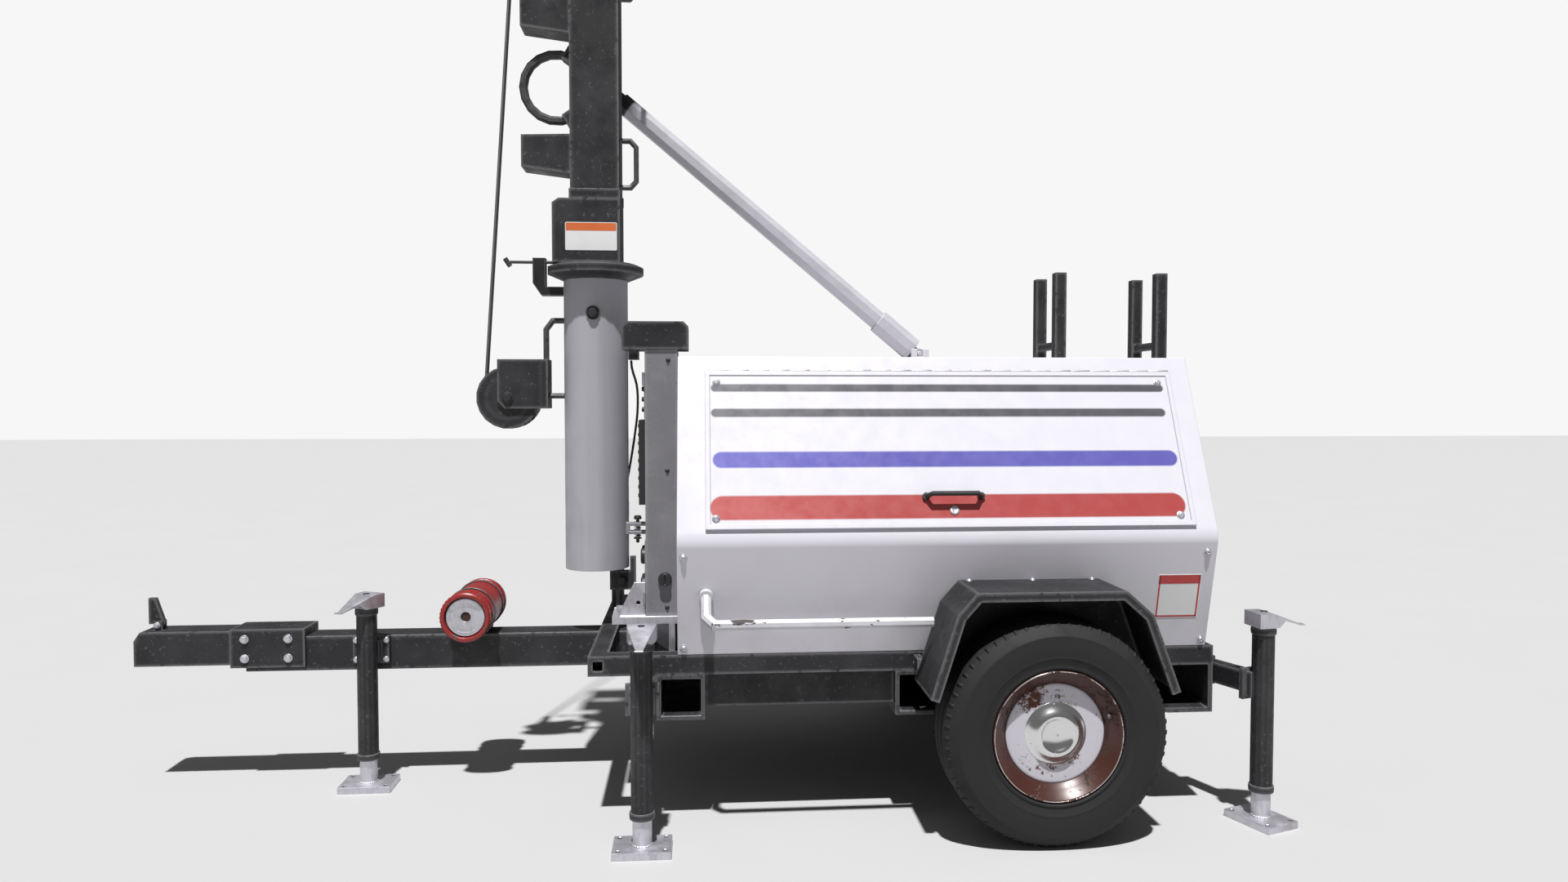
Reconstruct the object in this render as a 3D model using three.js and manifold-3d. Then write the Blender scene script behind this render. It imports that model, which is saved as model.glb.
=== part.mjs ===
// A towable diesel lighting tower: a generator in a canopy on a single-axle trailer, with a folding mast.
// Millimetres, +X towards the rear, +Y towards the far side, +Z up, ground at z = 0.
import * as THREE from "three";
import { mergeVertices } from "three/addons/utils/BufferGeometryUtils.js";
import Module from "manifold-3d";

const wasm = await Module();
wasm.setup();

// ---- Driving dimensions ----
const GAP = 0.3; // between separate pieces that touch
const NEAR = -1;
const FAR = 1;
const SIDES = [NEAR, FAR];

const RAIL = { outer: 475, inner: 420, low: 425, high: 480, front: -295, rear: 1496 };
const DRAWBAR = { front: -1381, rear: -111, half: 50, low: 352, high: 459, wall: 6 };
const AXLE = { x: 955, z: 305, half: 30, end: 590 };
const TYRE = { radius: 305, middle: 640, half: 95, bead: 178 };
const BODY = { front: -47, rear: 1472, low: 481, roof: 1316, wall: 10 };
const DOOR = { front: 31, rear: 1410, height: 477, top: 1270 };
const MAST = { x: -310, pivot: 1458, foot: 657, head: 1564.7, radius: 100 };
const OUTER = { x: -305, half: 75, wall: 8, high: 3950 };
const STRUT = { y: 168, top: [-285, 2212], foot: [756, 1345], radius: 33 };
const JACK = { top: 556, bottom: 90, radius: 30, leg: 26, legTop: 420, footHeight: 20 };
const FRONT_ARM = { x: -138, half: 25.5, low: 370, high: 420, jackY: 639, inner: 180 };
const REAR_ARM = { pivot: [1520, 390], jack: [1590, 579], low: 362, high: 420, half: 22 };

// ---- Solids ----
function solid(geometry) {
  const bare = geometry.clone();
  bare.deleteAttribute("normal");
  bare.deleteAttribute("uv");
  const merged = mergeVertices(bare, 1e-3);
  const corners = merged.index.array;
  const kept = [];
  for (let i = 0; i < corners.length; i += 3) {
    const [a, b, c] = corners.slice(i, i + 3);
    if (a !== b && b !== c && c !== a) kept.push(a, b, c);
  }
  const vertProperties = merged.attributes.position.array;
  return new wasm.Manifold(new wasm.Mesh({ numProp: 3, vertProperties, triVerts: new Uint32Array(kept) }));
}

function geometryOf(body) {
  const { vertProperties, triVerts } = body.getMesh();
  return new THREE.BufferGeometry()
    .setAttribute("position", new THREE.BufferAttribute(new Float32Array(vertProperties), 3))
    .setIndex(new THREE.BufferAttribute(new Uint32Array(triVerts), 1));
}

function moved(body, matrix) {
  const geometry = geometryOf(body).applyMatrix4(matrix);
  if (matrix.determinant() < 0) geometry.index.array.reverse();
  return solid(geometry);
}

const mirrored = (body) => moved(body, new THREE.Matrix4().makeScale(1, -1, 1));
const join = (...bodies) => bodies.flat().reduce((a, b) => a.add(b));
const cut = (body, ...tools) => tools.flat().reduce((a, b) => a.subtract(b), body);

// Corners may come in either order, so a side's sign can multiply them.
function box(x0, x1, y0, y1, z0, z1) {
  const size = [x1 - x0, y1 - y0, z1 - z0].map(Math.abs);
  return solid(new THREE.BoxGeometry(...size).translate((x0 + x1) / 2, (y0 + y1) / 2, (z0 + z1) / 2));
}

// An outline drawn across the axis and pushed along it: (x, z) for "y", (y, z) for "x", (x, y) for "z".
function prism(axis, outline, from, to) {
  const low = Math.min(from, to);
  const depth = Math.abs(to - from);
  const shape = new THREE.Shape(outline.map(([a, b]) => new THREE.Vector2(a, b)));
  const geometry = new THREE.ExtrudeGeometry(shape, { depth, bevelEnabled: false });
  if (axis === "y") geometry.rotateX(Math.PI / 2).translate(0, low + depth, 0);
  if (axis === "x") geometry.rotateX(Math.PI / 2).rotateZ(Math.PI / 2).translate(low, 0, 0);
  if (axis === "z") geometry.translate(0, 0, low);
  return solid(geometry);
}

function rod(start, end, radius, sides = 12, endRadius = radius) {
  const a = new THREE.Vector3(...start);
  const b = new THREE.Vector3(...end);
  const along = b.clone().sub(a);
  const up = new THREE.Vector3(0, 1, 0);
  const turn = new THREE.Quaternion().setFromUnitVectors(up, along.clone().normalize());
  const geometry = new THREE.CylinderGeometry(endRadius, radius, along.length(), sides);
  geometry.rotateY(Math.PI / sides).applyQuaternion(turn);
  return solid(geometry.translate(...a.add(b).multiplyScalar(0.5)));
}

// A bar with mitred bends: each ring of corners slides along its run onto the plane that halves the bend.
function bar(points, radius, sides = 8) {
  const path = points.map((p) => new THREE.Vector3(...p));
  const runs = path.slice(1).map((p, i) => p.clone().sub(path[i]).normalize());
  const across = new THREE.Vector3(0, 1, 0).cross(runs[0]);
  if (across.length() < 0.1) across.set(1, 0, 0).cross(runs[0]);
  across.setLength(radius).applyAxisAngle(runs[0], Math.PI / sides);
  const start = Array.from({ length: sides }, (_, i) =>
    across.clone().applyAxisAngle(runs[0], (2 * Math.PI * i) / sides).add(path[0]),
  );
  const rings = [start];
  runs.forEach((run, i) => {
    const end = path[i + 1];
    const normal = run.clone().add(runs[i + 1] ?? run);
    const slide = (v) => v.clone().addScaledVector(run, end.clone().sub(v).dot(normal) / run.dot(normal));
    rings.push(rings[i].map(slide));
  });
  const last = rings.length - 1;
  const corner = (ring, i) => ring * sides + (i % sides);
  const faces = [];
  for (let i = 0; i < sides; i += 1) {
    for (let r = 0; r < last; r += 1) {
      faces.push(corner(r, i), corner(r, i + 1), corner(r + 1, i));
      faces.push(corner(r, i + 1), corner(r + 1, i + 1), corner(r + 1, i));
    }
    if (i > 0 && i < sides - 1) {
      faces.push(corner(0, 0), corner(0, i + 1), corner(0, i));
      faces.push(corner(last, 0), corner(last, i), corner(last, i + 1));
    }
  }
  const geometry = new THREE.BufferGeometry().setFromPoints(rings.flat()).setIndex(faces);
  return solid(geometry);
}

// A smooth curved cord.
function sweep(points, radius, sides, steps) {
  const path = new THREE.CatmullRomCurve3(points.map((p) => new THREE.Vector3(...p)));
  const ring = new THREE.Shape(
    Array.from({ length: sides }, (_, i) => {
      const angle = (2 * Math.PI * i) / sides;
      return new THREE.Vector2(radius * Math.cos(angle), radius * Math.sin(angle));
    }),
  );
  return solid(new THREE.ExtrudeGeometry(ring, { steps, bevelEnabled: false, extrudePath: path }));
}

function lathe(profile, segments) {
  const points = profile.map(([r, h]) => new THREE.Vector2(r, h));
  return solid(new THREE.LatheGeometry(points, segments));
}

// ---- Scene graph ----
const machine = new THREE.Group();
const farSide = new THREE.Group();
farSide.scale.y = -1;
machine.add(farSide);

function finish(color, roughness, metalness = 0) {
  return new THREE.MeshStandardMaterial({ color, roughness, metalness });
}

const charcoal = finish(0x38383d, 0.7, 0.3);
const bodyWhite = finish(0xe6e3ee, 0.4);
const mastGrey = finish(0x9a98a2, 0.5, 0.3);
const paleSteel = finish(0xc9c6cf, 0.45, 0.5);
const hubSilver = finish(0xb9b4bd, 0.35, 0.7);
const rubber = finish(0x1e1e20, 0.9);
const red = finish(0xa83232, 0.45);
const black = finish(0x141416, 0.5);
const engineGreen = finish(0x35503f, 0.6, 0.2);

function add(parent, name, body, material, place = [0, 0, 0]) {
  const mesh = new THREE.Mesh(geometryOf(body), material);
  mesh.name = name;
  mesh.position.set(...place);
  parent.add(mesh);
  return mesh;
}

const homeOf = (side) => (side === NEAR ? machine : farSide);
const labelOf = (side) => (side === NEAR ? "near" : "far");

// ---- Drawbar and hitch ----
function drawbarOutside(gap) {
  const { front, rear, half, high } = DRAWBAR;
  return box(front - 100, rear + gap, -half - gap, half + gap, 300, high + gap);
}

function drawbar() {
  const { front, rear, half, low, high, wall } = DRAWBAR;
  const bore = box(front - 1, rear + 1, -half + wall, half - wall, low + wall, high - wall);
  return cut(box(front, rear, -half, half, low, high), bore);
}

const HITCH = { front: -1710, middle: -1422, rear: -1200, low: 374, high: 479 };
const LATCH = { x: -1655, z: 494, radius: 12, pin: 5 };

function couplerHousing() {
  const { front, middle, rear, low, high } = HITCH;
  const nose = [[front, low], [middle, low], [middle, high], [front + 18, high], [front, high - 27]];
  const sleeve = box(middle - 1, rear, -60, 60, 366, 485);
  const socket = box(front + 20, front + 135, -36, 36, low - 1, high - 34);
  const lugs = SIDES.map((s) => box(LATCH.x - 13, LATCH.x + 13, s * 9, s * 15, high - 2, 507));
  const pinHole = rod([LATCH.x, -16, LATCH.z], [LATCH.x, 16, LATCH.z], LATCH.pin + 0.5);
  const fit = DRAWBAR.half + GAP;
  const insideSleeve = box(DRAWBAR.front - 15, rear + 1, -fit, fit, 300, DRAWBAR.high + GAP);
  return cut(join(prism("y", nose, -52, 52), sleeve, lugs), socket, pinHole, insideSleeve);
}

function couplerLatch() {
  const { x, z, radius, pin } = LATCH;
  const blade = [[x - 30, z + 2], [x + 17, z + 4], [x - 9, 577], [x - 30, 577]];
  return join(
    prism("y", blade, -8, 8),
    rod([x, -8, z], [x, 8, z], radius),
    rod([x, -19, z], [x, 19, z], pin),
  );
}

add(machine, "drawbar", drawbar(), charcoal);
add(machine, "coupler_housing", couplerHousing(), charcoal);
add(machine, "coupler_latch", couplerLatch(), charcoal);

// ---- Chassis ----
const RECEIVER = { half: 32, low: 363, clearance: 0.5 };
const REAR_SHELF = { front: 1342, wall: 13, low: 286 };
const PEDESTAL = { front: -275, rear: -238, y0: 104, y1: 168, top: 1500, head: 60, bore: 20.6 };

function armReceiver(side) {
  const { x, half, low, high } = FRONT_ARM;
  const { clearance } = RECEIVER;
  const inner = side * (DRAWBAR.half + GAP);
  const shell = RECEIVER.half;
  const tube = box(x - shell, x + shell, inner, side * RAIL.outer, RECEIVER.low, RAIL.low + 2);
  const reach = half + clearance;
  const bore = box(x - reach, x + reach, inner - side, side * 500, low - clearance, high + clearance);
  return cut(tube, bore);
}

function rearHinge(side) {
  const [x, y] = REAR_ARM.pivot;
  const plate = (z0, z1) => box(RAIL.rear - 8, x + 16, side * (y - 20), side * (y + 20), z0, z1);
  const lugs = join(plate(REAR_ARM.high + 1.5, RAIL.low + 8), plate(350, REAR_ARM.low - 1.5));
  return cut(lugs, rod([x, side * y, 340], [x, side * y, 440], 9.6));
}

function pedestal() {
  const { front, rear, y0, y1, top, head, bore } = PEDESTAL;
  const post = box(front, rear, y0 + 4, y1, RAIL.high - 2, top);
  const cheek = rod([MAST.x, y0, MAST.pivot], [MAST.x, y1, MAST.pivot], head, 16);
  const cableBox = box(rear - 1, rear + 18, 112, 160, 800, 850);
  const pivotHole = rod([MAST.x, y0 - 9, MAST.pivot], [MAST.x, y1 + 9, MAST.pivot], bore, 16);
  return cut(join(post, cheek, cableBox), pivotHole);
}

function lockPlate() {
  const outline = [[-271, 584], [-252, 584], [-252, 478], [-241, 478], [-241, 584], [-189, 584]];
  outline.push([-189, 690], [-207, 690], [-207, 645], [-271, 645]);
  return prism("y", outline, -10, 10);
}

function chassisFrame() {
  const { outer, inner, low, high, front, rear } = RAIL;
  const rails = SIDES.map((s) => box(front, rear, s * inner, s * outer, low, high));
  const width = high - low;
  const crossmembers = [front, 470, rear - width].map((x) => box(x, x + width, -outer, outer, low, high));
  const shelf = REAR_SHELF;
  const shelfTop = shelf.low + shelf.wall;
  const chamfered = [[shelf.front, shelfTop], [shelf.front, shelfTop - 6], [shelf.front + 20, shelf.low]];
  const innerFace = rear - shelf.wall;
  chamfered.push([rear, shelf.low], [rear, low + 1], [innerFace, low + 1], [innerFace, shelfTop]);
  const wall = 14;
  const [x0, x1] = [front + wall, front + width - wall];
  const tubeEnd = (s) => box(x0, x1, s * (outer - 60), s * (outer + 1), low + wall, high - wall);
  const tubeEnds = SIDES.map(tubeEnd);
  const whole = join(rails, crossmembers, prism("y", chamfered, -outer, outer), pedestal(), lockPlate());
  const fittings = SIDES.flatMap((s) => [armReceiver(s), rearHinge(s)]);
  return cut(join(whole, fittings), tubeEnds, drawbarOutside(GAP));
}

add(machine, "chassis_frame", chassisFrame(), charcoal);

// ---- Fork pockets, their side beams, and the axle ----
const POCKET = { low: 297, high: RAIL.low - GAP, wall: 13, front: [-105.5, 30], middle: [566, 705] };

function forkPocket([front, rear]) {
  const { low, high, wall } = POCKET;
  const shell = box(front, rear, -RAIL.outer, RAIL.outer, low, high);
  return cut(shell, box(front + wall, rear - wall, -500, 500, low + wall, high - wall));
}

function subframe() {
  const [start, end] = [POCKET.front[1] - 1, POCKET.middle[0] + 1];
  const beams = SIDES.map((s) => box(start, end, s * 385, s * 440, 325, POCKET.high));
  return join(forkPocket(POCKET.front), forkPocket(POCKET.middle), beams);
}

function axleBeam() {
  const { x, z, half, end } = AXLE;
  const beam = box(x - half, x + half, -end, end, z - half, z + half);
  const hangers = SIDES.map((s) => box(x - 25, x + 25, s * 425, s * 470, z + half - 1, RAIL.low - GAP));
  return join(beam, hangers, rod([x, -698, z], [x, 698, z], 25, 16));
}

add(machine, "subframe", subframe(), charcoal);
add(machine, "axle_beam", axleBeam(), charcoal);

// ---- Wheels ----
function tyre() {
  const { radius, half, bead } = TYRE;
  const side = [[bead, half - 5], [225, half], [270, half - 3], [294, half - 22], [radius, half - 40]];
  const other = side.map(([r, h]) => [r, -h]).reverse();
  return lathe([side[0], ...side.slice(1), ...other, side[0]].reverse(), 24);
}

function rim() {
  const dome = [[0, -84], [20, -82], [38, -72], [49, -57], [133, -54], [150, -49], [166, -60], [168, -88]];
  const barrel = [[177.6, -88], [177.6, 88], [168, 88], [164, -34], [133, -42], [45, -42], [45, 36]];
  const hub = [[25.6, 36], [25.6, -60], [0, -60]];
  return lathe([...dome, ...barrel, ...hub], 24);
}

for (const side of SIDES) {
  const place = [AXLE.x, -TYRE.middle, AXLE.z];
  add(homeOf(side), `tyre_${labelOf(side)}`, tyre(), rubber, place);
  add(homeOf(side), `wheel_rim_${labelOf(side)}`, rim(), hubSilver, place);
}

// ---- Fenders ----
const FENDER = { inner: -523, outer: -735, sheet: 8, lip: 24, lipWidth: 12, liner: 4 };
const fenderArch = [[611, 412], [681, 631], [733, 689], [1133, 689], [1205, 625], [1281, 420]];

// The band between an open line and the same line moved a distance to its right.
function band(line, width) {
  const points = line.map((p) => new THREE.Vector2(...p));
  const side = (a, b) => new THREE.Vector2(b.y - a.y, a.x - b.x).normalize();
  const moves = points.map((p, i) => {
    const before = i > 0 ? side(points[i - 1], p) : side(p, points[1]);
    const after = i < points.length - 1 ? side(p, points[i + 1]) : before;
    const middle = before.clone().add(after).normalize();
    return middle.multiplyScalar(width / middle.dot(before));
  });
  const shifted = points.map((p, i) => p.clone().add(moves[i]));
  return [...points, ...shifted.reverse()].map((p) => [p.x, p.y]);
}

function fender() {
  const { inner, outer, sheet, lip, lipWidth, liner } = FENDER;
  const tab = ([x0, x1]) => box(x0, x1, -RAIL.outer - GAP, inner - 5, 427, 470);
  const tabs = [[618, 636], [1252, 1274]].map(tab);
  return join(
    prism("y", band(fenderArch, sheet), outer, inner),
    prism("y", band(fenderArch, lip), outer, outer + lipWidth),
    prism("y", [...fenderArch].reverse(), inner - liner, inner),
    tabs,
  );
}

for (const side of SIDES) add(homeOf(side), `fender_${labelOf(side)}`, fender(), charcoal);

// ---- Enclosure ----
const SLOPE = { foot: [538, 831], head: [320, BODY.roof] };
const slopeRise = SLOPE.head[1] - SLOPE.foot[1];
const slopeRun = SLOPE.foot[0] - SLOPE.head[0];
const slopeAngle = Math.atan2(slopeRise, slopeRun);
const hingeY = SLOPE.head[0] + (slopeRun * (BODY.roof - DOOR.top)) / slopeRise;

// A door's own frame: x along the body, y up the slope, z outwards, with its origin at the door's top edge.
const doorFrame = new THREE.Matrix4()
  .makeRotationX(slopeAngle)
  .setPosition(0, -hingeY, DOOR.top);

const halfSection = [[475, BODY.low], [545, 787], [545, 808], SLOPE.foot, SLOPE.head];
const halfInside = [[464, BODY.low - 11], [535, 789], [535, 806], [527.5, 829], [313, BODY.roof - BODY.wall]];
const bothHalves = (half) => [...half, ...half.map(([y, z]) => [-y, z]).reverse()];

const STRUT_PIN = { radius: 8, half: 49 };

function strutSaddle() {
  const [x, z] = STRUT.foot;
  const outside = STRUT_PIN.half + 2;
  const base = box(x - 40, x + 40, STRUT.y - outside, STRUT.y + outside, BODY.roof - 3, BODY.roof + 5);
  const [inner, outer] = [outside - 7, outside];
  const cheek = (s) => box(x - 30, x + 30, STRUT.y + s * inner, STRUT.y + s * outer, BODY.roof, z + 17);
  const cheeks = SIDES.map(cheek);
  const slot = box(x - 9, x + 9, STRUT.y - 60, STRUT.y + 60, z - 9, z + 30);
  return cut(join(base, cheeks), slot);
}

function canopy() {
  const { front, rear, wall } = BODY;
  const shell = cut(
    prism("x", bothHalves(halfSection), front, rear),
    prism("x", bothHalves(halfInside), front + wall, rear - wall),
  );
  const doorway = moved(box(DOOR.front + 12, DOOR.rear - 12, 12 - DOOR.height, -12, -40, 20), doorFrame);
  return cut(join(shell, strutSaddle()), doorway, mirrored(doorway));
}

function doorPanel() {
  const { front, rear, height } = DOOR;
  const border = 14;
  const slab = box(front, rear, -height, 0, 0.4, 9.4);
  return cut(slab, box(front + border, rear - border, border - height, -border, 6.4, 12));
}

function doorHandle() {
  const [x0, x1, y] = [644, 800, -387];
  const ends = [x0, x1].map((x) => rod([x, y, 6.7], [x, y, 16], 11, 8));
  return join(ends, bar([[x0, y, 14], [x0 + 14, y, 36], [x1 - 14, y, 36], [x1, y, 14]], 7));
}

const FLOOR_PLATE = 496;
const FLOOR = FLOOR_PLATE + GAP;
const floorPlate = box(BODY.front + 11, BODY.rear - 11, -462, 462, RAIL.high + GAP, FLOOR_PLATE);

add(machine, "enclosure_base", floorPlate, charcoal);
add(machine, "enclosure_canopy", canopy(), bodyWhite);

for (const side of SIDES) {
  const frame = new THREE.Group();
  frame.position.set(0, -hingeY, DOOR.top);
  frame.rotation.x = slopeAngle;
  homeOf(side).add(frame);
  add(frame, `door_${labelOf(side)}`, doorPanel(), bodyWhite);
  add(frame, `door_handle_${labelOf(side)}`, doorHandle(), black);
}

// ---- Grab rails, from the body's side to the fender ----
function grabRail() {
  const route = [[32, -526, 650], [32, -580, 606], [54, -600, 589], [646, -600, 589]];
  const foot = rod([32, -515.6, 655], [32, -533, 651], 20, 12);
  return join(foot, bar(route, 14.5));
}

for (const side of SIDES) add(homeOf(side), `grab_rail_${labelOf(side)}`, grabRail(), paleSteel);

// ---- Mast cradles: one on the roof, one on the rear wall ----
const CRADLE = { inner: 78, outer: 114, depth: 36, top: 1594, bar: [1352, 1376] };

function cradle(x, foot) {
  const { inner, outer, depth, top } = CRADLE;
  const posts = SIDES.map((s) => box(x, x + depth, s * inner, s * outer, foot, top));
  return join(posts, box(x + 8, x + depth - 8, -inner - 1, inner + 1, ...CRADLE.bar));
}

add(machine, "cradle_roof", cradle(1142, BODY.roof + GAP), charcoal);
add(machine, "cradle_rear", cradle(BODY.rear + GAP, 1150), charcoal);

// ---- Control cabinet on its shelf ----
const CABINET = { front: -142, rear: BODY.front - GAP, near: -320, far: -165, low: 561.3, high: 1336 };

function cabinetShelf() {
  const { rear } = CABINET;
  const plate = box(-239, rear, -330, -150, 538, 561);
  const flange = prism("y", [[-239, 561], [-216, 561], [-226, 588], [-232, 588]], -330, -318);
  const gusset = prism("y", [[-223, 560], [-143, 560], [-143, 658], [-176, 658]], -312, -304);
  const leg = box(-75, -57, -330, -150, POCKET.high + GAP, 539);
  const wing = prism("y", [[-66, 430], [-66, 539], [-200, 539], [-200, 530]], -246, -236);
  return cut(join(plate, flange, gusset, leg, wing), rod([-164, -320, 598], [-164, -290, 598], 6));
}

function controlCabinet() {
  const { front, rear, near, far, low, high } = CABINET;
  const catchBars = [787, 812].map((z) => box(front - 63, front + 1, -215, -185, z, z + 10));
  const catchEnd = box(front - 63, front - 53, -215, -185, 787, 822);
  const panel = box(front - 18, front + 1, near + 20, far - 20, 885, 1130);
  return join(box(front, rear, near, far, low, high), panel, catchBars, catchEnd);
}

function cabinetHood() {
  const [x0, x1, z0, z1] = [-208, -16, CABINET.high + GAP, 1417];
  const outline = [[x0, z0], [x1, z0], [x1, z1 - 14], [x1 - 14, z1], [x0 + 14, z1], [x0, z1 - 14]];
  return join(prism("y", outline, -325, -160), box(-198, -166, -178, -156, 1311, z0 + 1));
}

function isolatorKnob() {
  const [x, z] = [-86, 668];
  const start = CABINET.near - GAP;
  const base = rod([x, start, z], [x, start - 8, z], 20, 20);
  const knob = join(base, rod([x, start - 7, z], [x, start - 20, z], 17, 20));
  return cut(knob, box(x - 2.5, x + 2.5, start - 15, start - 30, z - 14, z + 14));
}

const cableRoute = [
  [-190, -167, 1309.5], [-188, -164, 1285], [-176, -125, 1235], [-177, -70, 1160], [-190, -12, 1075],
  [-207, 42, 988], [-221, 90, 925], [-229, 130, 885], [-229, 136, 851.5],
];

add(machine, "cabinet_shelf", cabinetShelf(), paleSteel);
add(machine, "control_cabinet", controlCabinet(), charcoal);
add(machine, "cabinet_hood", cabinetHood(), charcoal);
add(machine, "isolator_knob", isolatorKnob(), black);
add(machine, "release_cable", sweep(cableRoute, 4, 8, 26), black);

// ---- Generating set inside the enclosure ----
function engine() {
  const feet = SIDES.map((s) => box(760, 1140, s * 120, s * 200, FLOOR, FLOOR + 60));
  const block = box(720, 1150, -150, 150, FLOOR + 50, 830);
  const head = box(740, 1130, -105, 105, 829, 940);
  const intake = rod([760, 0, 975], [1110, 0, 975], 48, 16);
  const flywheel = rod([700, 0, 700], [722, 0, 700], 185, 24);
  const fanHub = rod([1149, 0, 760], [1195, 0, 760], 60, 16);
  const stack = rod([930, 0, 935], [930, 0, 980], 60, 12);
  const muffler = rod([800, -190, 930], [1080, -190, 930], 60, 16);
  const manifold = box(880, 960, -190, -90, 890, 930);
  return join(feet, block, head, intake, flywheel, fanHub, stack, muffler, manifold);
}

function alternator() {
  const drum = rod([360, 0, 700], [699.5, 0, 700], 165, 24);
  const feet = SIDES.map((s) => box(400, 660, s * 90, s * 180, FLOOR, 620));
  return join(drum, rod([330, 0, 700], [361, 0, 700], 120, 20), box(420, 600, -90, 90, 840, 930), feet);
}

function radiator() {
  const core = box(1290, 1350, -270, 270, FLOOR, 1120);
  const shroud = rod([1225, 0, 760], [1291, 0, 760], 210, 24);
  const hole = rod([1210, 0, 760], [1285, 0, 760], 195, 24);
  return join(cut(shroud, hole), core, rod([1320, 0, 1119], [1320, 0, 1150], 28, 12));
}

function fuelTank() {
  const outline = [[-20, FLOOR], [290, FLOOR], [290, 800], [250, 840], [20, 840], [-20, 800]];
  return join(prism("y", outline, -400, 400), rod([130, -250, 838], [130, -250, 880], 40, 16));
}

function battery() {
  const posts = SIDES.map((s) => rod([1140, 340 + s * 60, 700], [1140, 340 + s * 60, 722], 9, 10));
  return join(box(1060, 1220, 240, 440, FLOOR, 702), posts);
}

add(machine, "engine", engine(), engineGreen);
add(machine, "alternator", alternator(), mastGrey);
add(machine, "radiator", radiator(), black);
add(machine, "fuel_tank", fuelTank(), black);
add(machine, "battery", battery(), black);

// ---- Document canister on the drawbar ----
function canister() {
  const [x, z, radius, near, far] = [-691, 534, 72, -175, 118];
  const rings = [near, near + 40, far - 20].map((y) => rod([x, y, z], [x, y + 20, z], radius + 3, 16));
  const saddle = box(x - 42, x + 42, -40, 40, DRAWBAR.high + GAP, z - 30);
  return join(rod([x, near, z], [x, far, z], radius, 16), rings, saddle);
}

add(machine, "document_canister", canister(), red);

// ---- Jacks: in its own frame a jack stands at the origin with its crank lever along +x ----
function jackTube() {
  const { top, bottom, radius, leg } = JACK;
  return cut(rod([0, 0, bottom], [0, 0, top], radius), rod([0, 0, bottom - 5], [0, 0, top - 14], leg + 1));
}

function jackLeg() {
  const { leg, legTop, footHeight } = JACK;
  const [length, width] = [77.5, 57.5];
  const holes = SIDES.flatMap((i) => SIDES.map((j) => [i * (length - 16), j * (width - 14)]));
  const plate = cut(
    box(-length, length, -width, width, 0, footHeight),
    holes.map(([x, y]) => rod([x, y, -5], [x, y, footHeight + 5], 7, 8)),
  );
  return join(plate, rod([0, 0, footHeight - 1], [0, 0, legTop], leg));
}

function jackHandle() {
  const side = [[-35, 2], [-35, 44], [7, 44], [107, 7], [120, 7], [120, 3], [106, 3], [52, 20], [30, 2]];
  const plan = [[-35, -40], [7, -37], [107, -10], [120, -12], [120, 12], [107, 10], [7, 37], [-35, 40]];
  const cap = prism("y", side, -40, 40).intersect(prism("z", plan, 0, 60));
  return moved(cap, new THREE.Matrix4().makeTranslation(0, 0, JACK.top - 2 + GAP));
}

// The tube comes with its bracket or arm already joined to it.
function addJack(parent, label, tube, place, lever) {
  const stand = new THREE.Group();
  stand.position.set(...place);
  parent.add(stand);
  add(stand, `${label}_tube`, tube, charcoal);
  const turned = new THREE.Group();
  turned.rotation.z = THREE.MathUtils.degToRad(lever);
  stand.add(turned);
  add(turned, `${label}_handle`, jackHandle(), paleSteel);
  return stand;
}

function tongueTube() {
  const plate = box(-54, 55, 37, 52.7 - GAP, 375, 460);
  const clamp = cut(box(-30, 30, 20, 38, 385, 450), rod([0, 0, 300], [0, 0, 500], 29));
  return join(jackTube(), clamp, plate);
}

function frontArmTube() {
  const { half, low, high, jackY, inner } = FRONT_ARM;
  const beam = box(-half, half, jackY - inner, 40, low, high);
  const plate = box(-45, 45, 30, 44, 352, 438);
  const clamp = cut(box(-34, 34, 12, 31, 360, 430), rod([0, 0, 300], [0, 0, 500], 29));
  return join(jackTube(), clamp, plate, beam);
}

// The arm lies along +x in its own frame, from its pivot at the origin to its jack.
const armReach = Math.hypot(REAR_ARM.jack[0] - REAR_ARM.pivot[0], REAR_ARM.jack[1] - REAR_ARM.pivot[1]);
const armAngle = -Math.atan2(REAR_ARM.jack[1] - REAR_ARM.pivot[1], REAR_ARM.jack[0] - REAR_ARM.pivot[0]);

function rearArmTube() {
  const { low, high, half } = REAR_ARM;
  const boss = rod([-armReach, 0, low], [-armReach, 0, high], half, 16);
  const pin = rod([-armReach, 0, 352], [-armReach, 0, 431], 9);
  const beam = box(-armReach, -40, -half, half, low, high);
  const plate = box(-44, -30, -43, 43, 347, 433);
  const clamp = cut(box(-31, -12, -32, 32, 355, 425), rod([0, 0, 300], [0, 0, 500], 29));
  return join(jackTube(), clamp, plate, beam, boss, pin);
}

const tongueStand = addJack(machine, "tongue_jack", tongueTube(), [-1000, -103, 0], -116);
add(tongueStand, "tongue_jack_leg", jackLeg(), paleSteel);

for (const side of SIDES) {
  const front = `front_jack_${labelOf(side)}`;
  const frontStand = addJack(homeOf(side), front, frontArmTube(), [FRONT_ARM.x, -FRONT_ARM.jackY, 0], -90);
  add(frontStand, `${front}_leg`, jackLeg(), paleSteel);
  const rear = `rear_jack_${labelOf(side)}`;
  const [x, y] = REAR_ARM.jack;
  const lever = THREE.MathUtils.radToDeg(-armAngle) + 4;
  const rearStand = addJack(homeOf(side), rear, rearArmTube(), [x, -y, 0], lever);
  rearStand.rotation.z = armAngle;
  add(rearStand, `${rear}_leg`, jackLeg(), paleSteel);
}

// ---- Mast ----
const FLANGE = { radius: 150, low: 1565, high: 1616 };
const COLLAR = { front: -435, rear: -228, half: 84, top: 1811, corner: 14 };
const SHEAVE = { x: -422, z: 3900, radius: 40 };

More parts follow.
